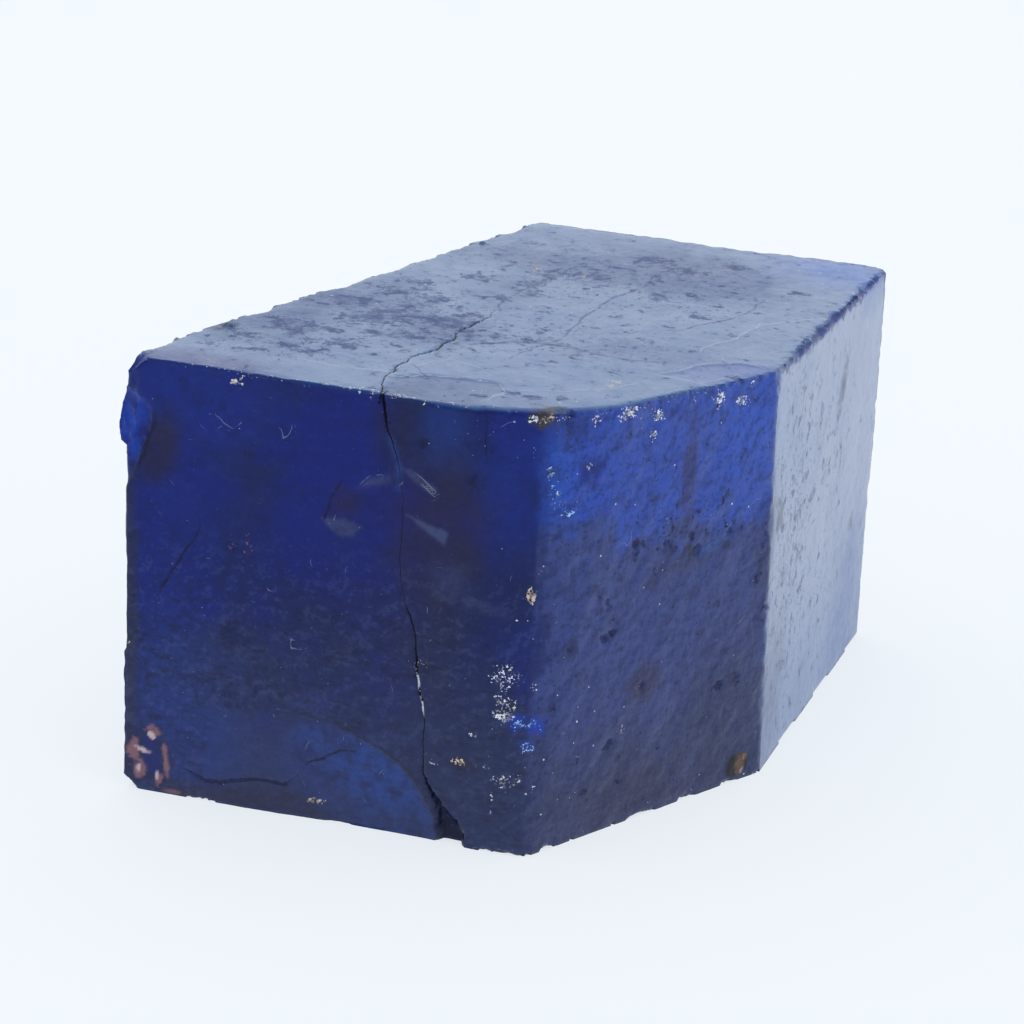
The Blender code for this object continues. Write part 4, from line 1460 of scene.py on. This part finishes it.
    def crumb_layer(self) -> Layer:
        """Where white dust, tan crumbs and blue splinters lie, by how thick they lie.

        Returns:
            The layer.
        """
        white, tan = (0.68, 0.72, 0.80), (0.56, 0.46, 0.37)
        blush, splinter = (0.62, 0.50, 0.52), (0.20, 0.46, 0.86)
        rows = (
            (white, 0.24, ((4.6, -16.4, 4.8, 1.7, 3.8), (1.0, -16.4, 0.2, 4.5, 0.3),
                           (3.0, -16.3, 18.8, 2.2, 1.2), (5.1, -16.3, 14.0, 0.9, 4.5))),
            (white, 0.42, ((4.9, -15.5, 19.72, 1.2, 0.26), (0.5, -16.4, 20.2, 4.0, 0.3),
                           (-6.0, -16.4, 20.3, 6.5, 0.3))),
            (white, 0.46, ((5.45, -15.16, 16.5, 0.26, 0.26), (5.50, -15.1, 16.0, 0.24, 0.22),
                           (5.14, -15.33, 17.5, 0.18, 0.30), (6.0, -14.8, 15.45, 0.40, 0.10),
                           (6.26, -14.54, 16.1, 0.12, 0.12), (8.47, -11.4, 18.4, 0.22, 0.20),
                           (8.46, -11.36, 17.2, 0.10, 0.12), (9.02, -10.36, 16.9, 0.12, 0.12),
                           (8.6, -11.2, 19.1, 0.20, 0.18), (10.56, -7.8, 19.3, 0.24, 0.34),
                           (11.6, -6.0, 19.6, 0.20, 0.22), (11.2, -6.7, 19.0, 0.24, 0.20),
                           (7.75, -12.3, 10.45, 0.08, 0.16), (7.44, -12.95, 13.0, 0.08, 0.16),
                           (9.54, -9.2, 11.3, 0.08, 0.10), (7.75, -12.7, 19.7, 0.26, 0.16),
                           (4.47, -15.6, 18.4, 0.16, 0.16), (4.53, -15.6, 18.1, 0.12, 0.12),
                           (4.93, -15.6, 13.6, 0.12, 0.20), (5.05, -15.6, 13.0, 0.14, 0.18),
                           (12.39, -4.5, 18.4, 0.08, 0.40), (12.29, -4.6, 17.1, 0.06, 0.30),
                           (5.4, -15.05, 19.8, 0.34, 0.15), (4.4, -15.7, 19.8, 0.22, 0.13))),
            (splinter, 0.42, ((5.3, -15.25, 16.9, 0.34, 1.1), (5.9, -14.8, 15.7, 0.4, 0.3))),
            (white, 0.50, ((4.0, -16.24, 8.35, 0.80, 0.55), (5.03, -15.9, 7.8, 0.34, 0.36),
                           (4.0, -16.3, 6.85, 0.62, 0.50), (3.9, -16.3, 6.5, 0.36, 0.10),
                           (2.6, -16.3, 5.4, 0.30, 0.18),
                           (4.3, -16.3, 3.5, 0.50, 0.36), (5.41, -15.8, 3.3, 0.16, 0.20),
                           (7.7, -12.7, 19.6, 0.35, 0.30), (8.6, -11.1, 19.2, 0.30, 0.35),
                           (8.5, -11.2, 18.3, 0.30, 0.30), (10.5, -7.7, 19.2, 0.40, 0.35),
                           (11.3, -6.3, 18.8, 0.40, 0.45), (4.9, -16.3, 10.85, 0.95, 0.08),
                           (5.0, -16.3, 10.0, 0.10, 0.50), (3.65, -16.3, 2.5, 0.10, 0.7),
                           (5.55, -16.2, 12.6, 0.22, 0.8))),
            (splinter, 0.56, ((4.66, -16.11, 6.1, 0.36, 0.26), (5.32, -15.8, 6.15, 0.30, 0.34),
                              (5.0, -15.95, 5.1, 0.30, 0.26), (3.7, -16.3, 1.95, 0.09, 0.10))),
            (blush, 0.50, ((0.4, -16.3, 8.3, 0.75, 0.26), (1.0, -16.3, 3.8, 0.36, 0.18),
                           (3.3, -16.3, 4.05, 0.42, 0.12), (6.75, -14.3, 19.6, 0.3, 0.3),
                           (8.0, -11.5, 4.8, 0.26, 0.40))),
            ((0.62, 0.57, 0.54), 0.85, ((-8.6, -16.3, 19.75, 0.32, 0.24),)),
            ((0.18, 0.07, 0.15), 0.50, ((-7.9, -16.3, 12.2, 0.34, 0.9),
                                        (-8.6, -16.3, 12.4, 0.2, 0.4))),
            (tan, 0.85, ((4.76, -15.8, 12.0, 0.28, 0.30), (4.76, -15.8, 12.0, 0.20, 0.24),
                         (2.1, -16.3, 4.05, 0.40, 0.22),
                         (-13.35, -16.3, 7.0, 0.12, 0.14), (-4.4, -16.3, 0.9, 0.4, 0.2))),
            (tan, 0.60, ((-2.3, 7.0, 20.0, 0.36, 0.5), (0.2, 6.7, 20.0, 0.24, 0.5),
                         (6.4, -10.2, 20.0, 0.50, 0.5), (4.95, -15.3, 19.8, 0.30, 0.14))),
            (white, 0.75, ((6.56, -14.2, 17.6, 0.15, 0.16), (6.65, -14.1, 17.15, 0.15, 0.14))))
        return Layer("crumb", (
            *ovals((8.7, -10.8, 19.7, 6.2, 0.5, 0.5, white, 0.34, 0.4, 0.8, 60.2), axis=2),
            *ovals(*(
                (x, y, z, width, 0.5 if y < -16.0 else 1.7 * width, height, colour, strength, 0.4, 1.2)
                for colour, strength, spots in rows for x, y, z, width, height in spots), fine=True)))

    def crowd_layers(self) -> list[Layer]:
        """Where pits, darker belts, glowing floors and the crack's filling are thick.

        Returns:
            The layers, whose colours aren't used.
        """
        white = (1.0, 1.0, 1.0)
        rows = {
            "pit_crowd": (
                (3.0, 6.5, 20.0, 9.0, 4.0, 1.0, white, 0.30, 0.7, 0.6, -20.0),
                (0.5, -4.5, 20.0, 7.5, 4.0, 1.0, white, 0.28, 0.8),
                (-5.4, -4.4, 20.0, 2.8, 6.4, 1.0, white, 0.42, 0.8, 0.6, 14.0),
                (-8.6, -11.4, 20.0, 3.0, 2.4, 1.0, white, 0.30, 0.7),
                (-8.2, -16.3, 6.6, 3.8, 1.5, 2.8, white, 0.42, 0.8),
                (9.4, -9.6, 13.6, 2.8, 3.8, 1.4, white, 0.30, 0.7),
                (12.9, -0.5, 12.0, 1.2, 3.4, 9.0, white, 0.46, 0.8),
                (13.2, 6.0, 10.0, 1.2, 6.0, 9.0, white, 0.30, 0.8)),
            "belt": (
                (1.4, 8.2, 20.0, 8.0, 2.6, 1.0, white, 0.9, 0.7, 0.6, -8.0),
                (4.2, 11.2, 20.0, 4.4, 2.6, 1.0, white, 1.0, 0.8),
                (5.9, 8.6, 20.0, 2.8, 2.4, 1.0, white, 0.8, 0.8),
                (-10.6, -8.8, 20.0, 1.9, 4.0, 1.0, white, 0.8, 0.8, 0.6, 14.0),
                (6.6, -5.0, 20.0, 4.0, 1.8, 1.0, white, 0.5, 0.7, 0.6, 10.0),
                (-6.6, -2.6, 20.0, 2.0, 5.0, 1.0, white, 0.7, 0.8, 0.6, 14.0),
                (-9.4, -4.4, 20.0, 1.6, 4.5, 1.0, white, 0.9, 0.8, 0.6, 18.0),
                (-2.8, -5.8, 20.0, 1.9, 2.4, 1.0, white, 1.0, 0.8),
                (-2.0, 2.6, 20.0, 1.8, 3.2, 1.0, white, 0.6, 0.8),
                (-0.5, 13.6, 20.0, 6.0, 1.2, 1.0, white, 0.4, 0.8)),
            "scar_glow": ((-1.6, -16.0, 2.8, 3.2, 2.0, 1.7, white, 1.0, 0.8, 0.5, 28.0),),
            "facet_glow": ((-13.4, -16.3, 18.9, 1.4, 2.5, 1.0, white, 0.20, 0.7),
                           (-13.5, -16.3, 17.0, 0.75, 2.5, 1.4, white, 0.95, 0.7, 0.9)),
            "filling": ((0.2, -16.3, 7.0, 0.8, 1.0, 1.1, white, 1.0, 0.2, 0.3),)}
        spots = ovals(*((x, y, 20.1, size, size * 0.9, 0.8, white, 0.85, 0.6, 1.1)
                        for x, y, size in self.blotches), fine=True)
        return [Layer(name, (*ovals(*made, axis=1 if name == "scar_glow" else 2),
                             *(spots if name == "pit_crowd" else ())))
                for name, made in rows.items()]

    def paint(self, mesh: bpy.types.Mesh) -> None:
        """Lay every layer on the stone's mesh.

        Args:
            mesh: the mesh, in metres.
        """
        skin = Skin.of(mesh, MM)
        for layer in (self.zone_layer(), self.inclusion_layer(), self.crumb_layer(),
                      *self.crowd_layers()):
            layer.paint(mesh, skin)

    def build(self, groups: GroupMaker) -> bpy.types.Material:
        """Make the material.

        Args:
            groups: the shared node groups.

        Returns:
            The stone's material.
        """
        material = bpy.data.materials.new("rough_tanzanite")
        material.use_nodes = True
        StoneGraph(material.node_tree, self, groups).dress()
        return material


class StoneGraph(Graph):
    """The node tree of the stone's finish, with what all of its parts draw on."""

    def __init__(self, tree: bpy.types.NodeTree, look: StoneFinish, groups: GroupMaker) -> None:
        """Add the position, in millimetres, the shared noises and the marks of three sides.

        Args:
            tree: the material's node tree.
            look: colours and figures of the finish.
            groups: the shared node groups.
        """
        super().__init__(tree)
        self.look = look
        self.groups = groups
        self.where = self.scaled(self.add("TexCoord", out="Object"), 1.0 / MM)
        self.east = self.add("SeparateXYZ", {0: self.where})
        self.depth, self.height = self.east.fellow("Y"), self.east.fellow("Z")
        self.slow = self.noise(self.where, 0.16, 2.0, 0.55, 0.4)
        self.mid = self.noise(self.where, 0.55, 3.0, 0.6, 0.2)
        self.mottle = self.noise(self.where, 1.25, 5.0, 0.66)
        self.fine = self.noise(self.where, 3.6, 4.0, 0.62)
        slant = (math.radians(-32.0), math.radians(18.0), 0.0)
        self.streaks = self.place(groups.streaks, position=self.where, turn=slant,
                                  size=(0.8, 1.1, 4.5), detail=3.0, low=0.46, high=0.72)
        self.top, self.right, self.corner = self.mark("top"), self.mark("right"), self.mark("corner")

    def crowd(self, name: str) -> Value:
        """Share of a painted layer."""
        return self.mark(name, "Alpha")

    def line(self, name: str, waver: float, limit: float) -> Value:
        """Mask of a set of lines.

        Args:
            name: the set's name.
            waver: how far the edge of a line strays, as a share of its width.
            limit: how far from a line its mask may reach.

        Returns:
            The mask.
        """
        away = abs(self.mark(name)) + (self.fine - 0.5) * waver
        return self.ramp(away, 0.68, 0.34) * self.ramp(self.mark(name + "_near"), limit, limit * 0.7)

    def bumps(self) -> tuple[Value, Value]:
        """Masks of the lit and the shaded flanks of low bumps in the surface.

        Returns:
            Both masks.
        """
        shifted = self.vector('ADD', self.where, (-0.06, -0.10, 0.14))
        slope = self.noise(self.where, 1.3, 4.0, 0.62) - self.noise(shifted, 1.3, 4.0, 0.62)
        return self.ramp(slope, 0.01, 0.11), self.ramp(slope, -0.01, -0.11)

    def lay(self, name: str, colour: Value) -> Value:
        """Lay a painted layer over a colour.

        Args:
            name: the layer's name.
            colour: what lies below.

        Returns:
            The colour.
        """
        painted = self.mark(name, "Color")
        bare = self.blend(painted.fellow("Alpha"), colour, (0.0, 0.0, 0.0, 1.0))
        return self.blend(1.0, bare, painted, 'ADD')

    def dress(self) -> None:
        """Feed the shader of the material."""
        look = self.look
        inputs = self.tree.nodes["Principled BSDF"].inputs
        for name, value in (("IOR", look.stone_ior), ("Specular IOR Level", look.body_sheen),
                            ("Coat IOR", look.stone_ior), ("Coat Roughness", look.film_roughness)):
            inputs[name].default_value = value
        holes = self.holes() * (1.0 - self.right * 0.30)
        chips = self.chips()
        colour = self.lay("zone", self.zones())
        colour = self.grained(self.scars(colour))
        # Painted shade: the pits are painted darker than the stone around them, navy on the sides and
        # pit_top on the top.
        pit = self.blend(self.top, look.navy, look.pit_top)
        colour = self.blend(holes * 0.88, colour, pit)
        colour = self.blend(chips * 0.9, colour, look.chip)
        colour = self.lay("inclusion", colour)
        crack, seam = self.line("crack", 0.5, 0.2), self.line("seam", 1.3, 0.5)
        seam = seam * self.ramp(self.mottle, 0.36, 0.54, 0.30, 1.0)
        colour, crumbs = self.crumbled(self.cracked(colour, crack, seam))
        # White specks and hairs, the specks partly dust and partly painted glints.
        colour = self.blend(self.dust_and_glints(), colour, look.dust)
        dark = self.most(holes * 0.82, chips * 0.80, self.crowd("zone") * self.right * 0.55,
                         crack * 0.95, seam * 0.55, self.ramp(self.mark("gap"), -0.05, 0.16) * 0.85)
        rough = self.ramp(self.mottle, 0.35, 0.65, 0.30, 0.48)
        self.put(inputs["Base Color"], colour)
        self.put(inputs["Coat Weight"], self.film(dark))
        self.put(inputs["Roughness"], self.most(rough, crumbs * 0.8))
        self.put(inputs["Normal"], self.relief(holes))

    def film(self, dark: Value) -> Value:
        """Weight of the dull film, strong on the top and the right side.

        Args:
            dark: where it is missing.

        Returns:
            The weight.
        """
        rim = self.mark("edge") + (self.fine - 0.5) * 0.5
        rim = self.ramp(rim, 0.16, 0.04) * self.ramp(self.height, 19.3, 19.7)
        film = self.ramp(self.height, 13.0, 2.0, 0.02, 0.18) + rim * 0.22
        film = self.mix(self.corner, film, 0.175)
        upper = self.ramp(self.mid, 0.36, 0.62, 0.63, 0.77)
        upper = upper * self.ramp(self.crowd("belt"), 0.0, 1.0, 1.0, 0.55)
        upper = upper * self.ramp(self.crowd("zone"), 0.0, 1.0, 1.0, 0.70)
        film = self.mix(self.top, film, upper)
        side = self.ramp(self.height, 9.0, 1.0, 1.0, 0.70)
        film = self.mix(self.right, film, side * self.ramp(self.streaks, 0.0, 1.0, 1.0, 0.86))
        return film * (1.0 - dark) * self.ramp(self.mottle, 0.30, 0.55, 0.80, 1.0)

    def zones(self) -> Value:
        """Colour of the bare stone, side by side, with painted glow high on the corner cut.

        Returns:
            The colour.
        """
        look = self.look
        front = self.blend(self.ramp(self.slow, 0.40, 0.58), look.front, look.front_dull)
        low = self.ramp(self.height + self.mid * 8.0, 14.5, 4.0, 0.0, 0.85)
        front = self.blend(low, front, look.front_low)
        tall = self.height + (self.mid - 0.5) * 8.0
        # Painted glow: the corner cut is brighter blue high up, for light passing through its thin
        # upper edge.
        slant = self.ramp(tall + self.depth * 0.25, 12.6, 10.2)
        corner = self.blend(slant, look.corner_painted_glow, look.corner_dull)
        corner = self.blend(self.ramp(tall, 8.5, 1.0), corner, look.corner_low)
        corner = self.blend(self.streaks * 0.30, corner, look.haze_and_sheen)
        top = self.blend(self.crowd("belt") * 0.75, look.top, look.top_dull)
        colour = self.blend(self.corner, front, corner)
        colour = self.blend(self.right, colour, look.side)
        colour = self.blend(self.mark("left"), colour, look.front)
        colour = self.blend(self.mark("back"), colour, look.corner_dull)
        return self.blend(self.top, colour, top)

    def grained(self, colour: Value) -> Value:
        """Lay the grain of the sawn skin over a colour, with painted light and shade on its bumps.

        Args:
            colour: what lies below.

        Returns:
            The colour.
        """
        look = self.look
        lit, shaded = self.bumps()
        flat = (1.0 - self.right) * (1.0 - self.top * 0.7)
        flat = flat * self.ramp(self.mark("scar"), -0.1, 0.15, 1.0, 0.4)
        rough = flat * self.mix(self.corner, self.ramp(self.height, 14.0, 10.5, 0.22, 1.0), 1.0)
        # Painted shade on the shaded flanks of low bumps, and a painted highlight on the lit flanks.
        colour = self.blend(shaded * rough * 0.44, colour, look.navy)
        colour = self.blend(lit * rough * 0.12, colour, look.haze_and_sheen)
        shade = self.ramp(self.mottle, 0.46, 0.68, 0.0, 0.40)
        colour = self.blend(shade * flat, colour, look.navy)
        # Painted shadows of small bumps: short dark strokes low on the front.
        drawn = self.vector('MULTIPLY', self.where, (1.2, 1.2, 3.0))
        bump_shadows = self.ramp(self.noise(drawn, 1.0, 3.0, 0.6), 0.54, 0.66)
        bump_shadows = bump_shadows * self.ramp(self.height, 13.0, 8.0) * (flat * (1.0 - self.corner)) * 0.45
        colour = self.blend(bump_shadows, colour, look.shadow)
        light = self.ramp(self.fine, 0.54, 0.78, 0.0, 0.15) * self.mix(self.corner, 0.35, 1.0)
        colour = self.blend(light * rough, colour, look.haze_and_sheen)
        speck = self.ramp(self.fine, 0.46, 0.28, 0.0, 0.6)
        return self.blend(speck * rough, colour, look.navy)

    def scars(self, colour: Value) -> Value:
        """Colour of the shell-shaped fracture, the broken gap and the left facet: painted glow of
        light through the stone on the floor and the facet, painted shade along the rims and in the
        gap.

        Args:
            colour: what lies below.

        Returns:
            The colour.
        """
        look = self.look
        stray = (self.fine - 0.5) * 0.35
        reach = self.mark("scar") + stray
        # Painted glow of light through the stone on the fracture's floor, strongest where scar_glow is
        # thick.
        floor = self.blend(self.ramp(self.mottle, 0.40, 0.62), look.scar_bright, look.scar_dull)
        within = self.ramp(reach, 0.02, 0.30) * (0.10 + self.crowd("scar_glow") * 0.80)
        colour = self.blend(within, colour, floor)
        # Painted shade along the step at the fracture's rim.
        rim = self.ramp(reach, -0.14, -0.02) * self.ramp(reach, 0.10, 0.02)
        rim = rim * self.ramp(self.east, -5.0, -2.0)
        colour = self.blend(rim * 0.55, colour, look.shadow)
        # Painted shade in the deep broken gap.
        gap = self.ramp(self.mark("gap"), -0.05, 0.16)
        colour = self.blend(gap * 0.88, colour, look.gap)
        # Painted glow of light through the thin broken facet.
        facet = self.mark("facet") + stray * 0.6
        glow = self.crowd("facet_glow") * self.ramp(self.mottle, 0.66, 0.40, 0.35, 1.0)
        colour = self.blend(self.ramp(facet, -0.02, 0.14) * glow, colour, look.facet)
        # Painted shade along the facet's rim.
        rim = self.ramp(facet, -0.22, -0.06) * self.ramp(facet, 0.08, 0.0)
        rim = rim * self.ramp(self.height, 18.2, 17.0) * self.ramp(self.height, 14.8, 15.6)
        return self.blend(rim * 0.8, colour, look.shadow)

    def holes(self) -> Value:
        """Mask of the natural pits: the carved ones and crowds of small ones.

        Returns:
            The mask.
        """
        level = 0.65 - (self.crowd("pit_crowd") * 0.20 + self.top * 0.025)
        ragged = self.ramp(self.mottle - level, 0.0, 0.05)
        ragged = ragged * self.ramp(self.fine, 0.38, 0.54, 0.35, 1.0)
        small = self.ramp(self.fine - level, 0.015, 0.06)
        carved = self.ramp(self.mark("carved"), 0.01, 0.07) * self.ramp(self.mark("edge"), 0.8, 1.4)
        carved = carved * self.ramp(self.fine, 0.38, 0.54)
        plain = self.corner + (self.top + self.right)
        bare = self.ramp(self.mark("scar"), 0.1, -0.3) * (0.45 + plain * 0.55)
        return self.most(ragged, small * 0.8, carved * 0.7) * bare

    def chips(self) -> Value:
        """Mask of the deep blue chips along the upper edges of the right and left faces.

        Returns:
            The mask.
        """
        reach = self.mark("edge") + ((self.fine - 0.5) * 0.8 + (self.mottle - 0.5) * 1.6)
        near = self.most(self.right, self.mark("left")) * 0.28 + 0.05
        rim = self.ramp(reach - near, 0.12, -0.06)
        return rim * self.ramp(self.height, 18.6, 19.3) * self.ramp(abs(self.east), 12.2, 12.6)

    def dust_and_glints(self) -> Value:
        """Mask of lone white specks and hairs; the specks are partly dust and partly painted glints.

        Returns:
            The mask.
        """
        hairs = self.place(self.groups.lines, position=self.where, size=(2.0, 2.0, 2.0),
                           thickness=0.0045)
        lone = self.place(self.groups.grains, position=self.where, fineness=2.0, grain=0.10,
                          share=0.55, softness=0.5, stray=self.fine)
        lone = lone * self.ramp(self.right, 0.0, 1.0, 0.8, 0.2)
        return self.most(lone, hairs * self.ramp(self.mid, 0.60, 0.66) * 0.25)

    def crumbled(self, colour: Value) -> tuple[Value, Value]:
        """Lay crumbs of dust and grit where the crumb layer is thick.

        Args:
            colour: what lies below.

        Returns:
            The colour and the crumbs' mask.
        """
        layer = self.mark("crumb", "Color")
        crowd = layer.fellow("Alpha")
        own = self.vector('DIVIDE', layer, self.add("CombineXYZ", dict.fromkeys(range(3), crowd)))
        clumps = self.ramp(self.noise(self.where, 3.1, 1.0, 0.5), 0.42, 0.62)
        own = self.blend(clumps, own, self.scaled(own, 0.30))
        own = self.blend(self.ramp(crowd, 0.0, 0.08), self.look.crumb_rim, own)
        level = self.ramp(crowd, 0.0, 1.0, 0.785, 0.42)
        grit = self.noise(self.where, 9.0, 2.0, 0.6)
        mask = self.ramp(grit - level, -0.012, 0.022)
        return self.blend(mask, colour, own), mask

    def cracked(self, colour: Value, crack: Value, seam: Value) -> Value:
        """Dark lines of the open crack and the seams, its white filling, the pale ridges; the black
        of the open crack is painted shade inside it.

        Args:
            colour: what lies below.
            crack: mask of the open cracks.
            seam: mask of the closed seams.

        Returns:
            The colour.
        """
        look = self.look
        pale = self.line("ridge", 0.6, 0.24) * self.ramp(self.mottle, 0.36, 0.52)
        colour = self.blend(pale * self.mix(self.top, 0.26, 0.45), colour, look.cream)
        deep = self.blend(self.top, look.seam, look.pit_top)
        colour = self.blend(seam * 0.75, colour, deep)
        # Painted shade inside the open crack.
        colour = self.blend(crack * 0.94, colour, look.black)
        filled = crack * self.crowd("filling") * self.ramp(self.fine, 0.42, 0.50)
        return self.blend(filled, colour, look.filling)

    def relief(self, holes: Value) -> Value:
        """Fine relief of the skin.

        Args:
            holes: mask of the pits.

        Returns:
            The bumped normal.
        """
        height = self.fine * 0.026 + self.mottle * 0.035 - holes * 0.03
        height = height * self.ramp(self.right + self.top, 0.0, 1.0, 1.0, 0.45)
        return self.add("Bump", {"Strength": 1.0, "Distance": 0.001, "Height": height})


# ---------------------------------------------------------------- studio


@dataclass(frozen=True)
class Studio:
    """Pale floor, soft light and the camera.

    Attributes:
        eye: the camera's place, in millimetres.
        right, up, forward: the ways it faces.
        lens: its focal length.
        floor_size: edge of the floor, in metres.
        floor_colour, floor_glow: colours of the floor.
    """

    eye: Triple = (36.54, -130.24, 57.44)
    right: Triple = (0.95454, 0.29325, 0.05344)
    up: Triple = (-0.14571, 0.30264, 0.94190)
    forward: Triple = (-0.26004, 0.90687, -0.33161)
    lens: float = 105.47
    floor_size: float = 3.0
    floor_colour: Colour = (0.22, 0.225, 0.23, 1.0)
    floor_glow: Colour = (0.665, 0.705, 0.735, 1.0)

    def camera(self) -> None:
        """Place the camera."""
        data = bpy.data.cameras.new("camera")
        data.lens = self.lens
        data.sensor_width = 36.0
        data.clip_start, data.clip_end = 0.005, 10.0
        view = bpy.data.objects.new("camera", data)
        turn = Matrix((self.right, self.up, -Vector(self.forward))).transposed().to_4x4()
        view.matrix_world = Matrix.Translation(Vector(self.eye) * MM) @ turn
        bpy.context.scene.collection.objects.link(view)
        bpy.context.scene.camera = view

    def floor(self) -> None:
        """Lay the floor."""
        bm = bmesh.new()
        bmesh.ops.create_grid(bm, x_segments=1, y_segments=1, size=self.floor_size / 2)
        mesh = bpy.data.meshes.new("floor")
        bm.to_mesh(mesh)
        bm.free()
        material = bpy.data.materials.new("pale_floor")
        material.use_nodes = True
        shader = material.node_tree.nodes["Principled BSDF"]
        for name, value in (("Base Color", self.floor_colour), ("Roughness", 0.9),
                            ("Specular IOR Level", 0.1), ("Emission Color", self.floor_glow),
                            ("Emission Strength", 1.0)):
            shader.inputs[name].default_value = value
        mesh.materials.append(material)
        floor = bpy.data.objects.new("floor", mesh)
        bpy.context.scene.collection.objects.link(floor)

    def softbox(self, name: str, spot: Triple, size: tuple[float, float], brightness: float) -> None:
        """Large soft light that faces the stone.

        Args:
            name: the light's name.
            spot: its place, in metres.
            size: its width and height, in metres.
            brightness: how bright its face looks.
        """
        data = bpy.data.lights.new(name, 'AREA')
        data.shape = 'RECTANGLE'
        data.size, data.size_y = size
        data.energy = brightness * math.pi * size[0] * size[1]
        data.color = (0.95, 0.975, 1.0)
        light = bpy.data.objects.new(name, data)
        light.location = spot
        light.rotation_euler = (-Vector(spot)).to_track_quat('-Z', 'Y').to_euler()
        bpy.context.scene.collection.objects.link(light)

    def world(self) -> None:
        """Even pale surroundings, dimmer on the camera's side."""
        world = bpy.data.worlds.new("tent")
        world.use_nodes = True
        bpy.context.scene.world = world
        graph = Graph(world.node_tree)
        graph.tree.nodes.clear()
        east = graph.add("SeparateXYZ", {0: graph.add("TexCoord", out="Generated")})
        depth = graph.ramp(east.fellow("Y") + east * 0.45, -0.7, 0.5)
        tint = graph.blend(depth, (0.12, 0.13, 0.15, 1.0), (1.08, 1.12, 1.18, 1.0))
        seen = graph.add("LightPath", out="Is Camera Ray")
        tint = graph.blend(seen.fellow("Is Glossy Ray"), (0.95, 0.98, 1.02, 1.0), tint)
        tint = graph.blend(seen, tint, (0.87, 0.91, 0.945, 1.0))
        shell = graph.add("Background", {0: tint, 1: 1.0})
        graph.put(graph.tree.nodes.new("ShaderNodeOutputWorld").inputs[0], shell)

    def build(self) -> None:
        """Set the floor, the light and the camera."""
        scene = bpy.context.scene
        scene.view_settings.view_transform = 'Standard'
        scene.view_settings.look = 'None'
        self.floor()
        self.world()
        self.softbox("overhead", (0.0, 0.05, 0.45), (0.5, 0.5), 0.35)
        self.camera()


def main() -> None:
    """Build the stone and its studio in order."""
    logging.basicConfig(level=logging.INFO, format="%(name)s: %(message)s")
    groups = GroupMaker()
    finish = StoneFinish()
    stone = StoneBlock().build()
    finish.paint(stone.data)
    stone.data.materials.append(finish.build(groups))
    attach(stone, BODY)
    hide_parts(CAD_NODE)
    log.info("%s rides on %s", stone.name, BODY)
    Studio().build()
    log.info("studio set")


if __name__ == "__main__":
    main()
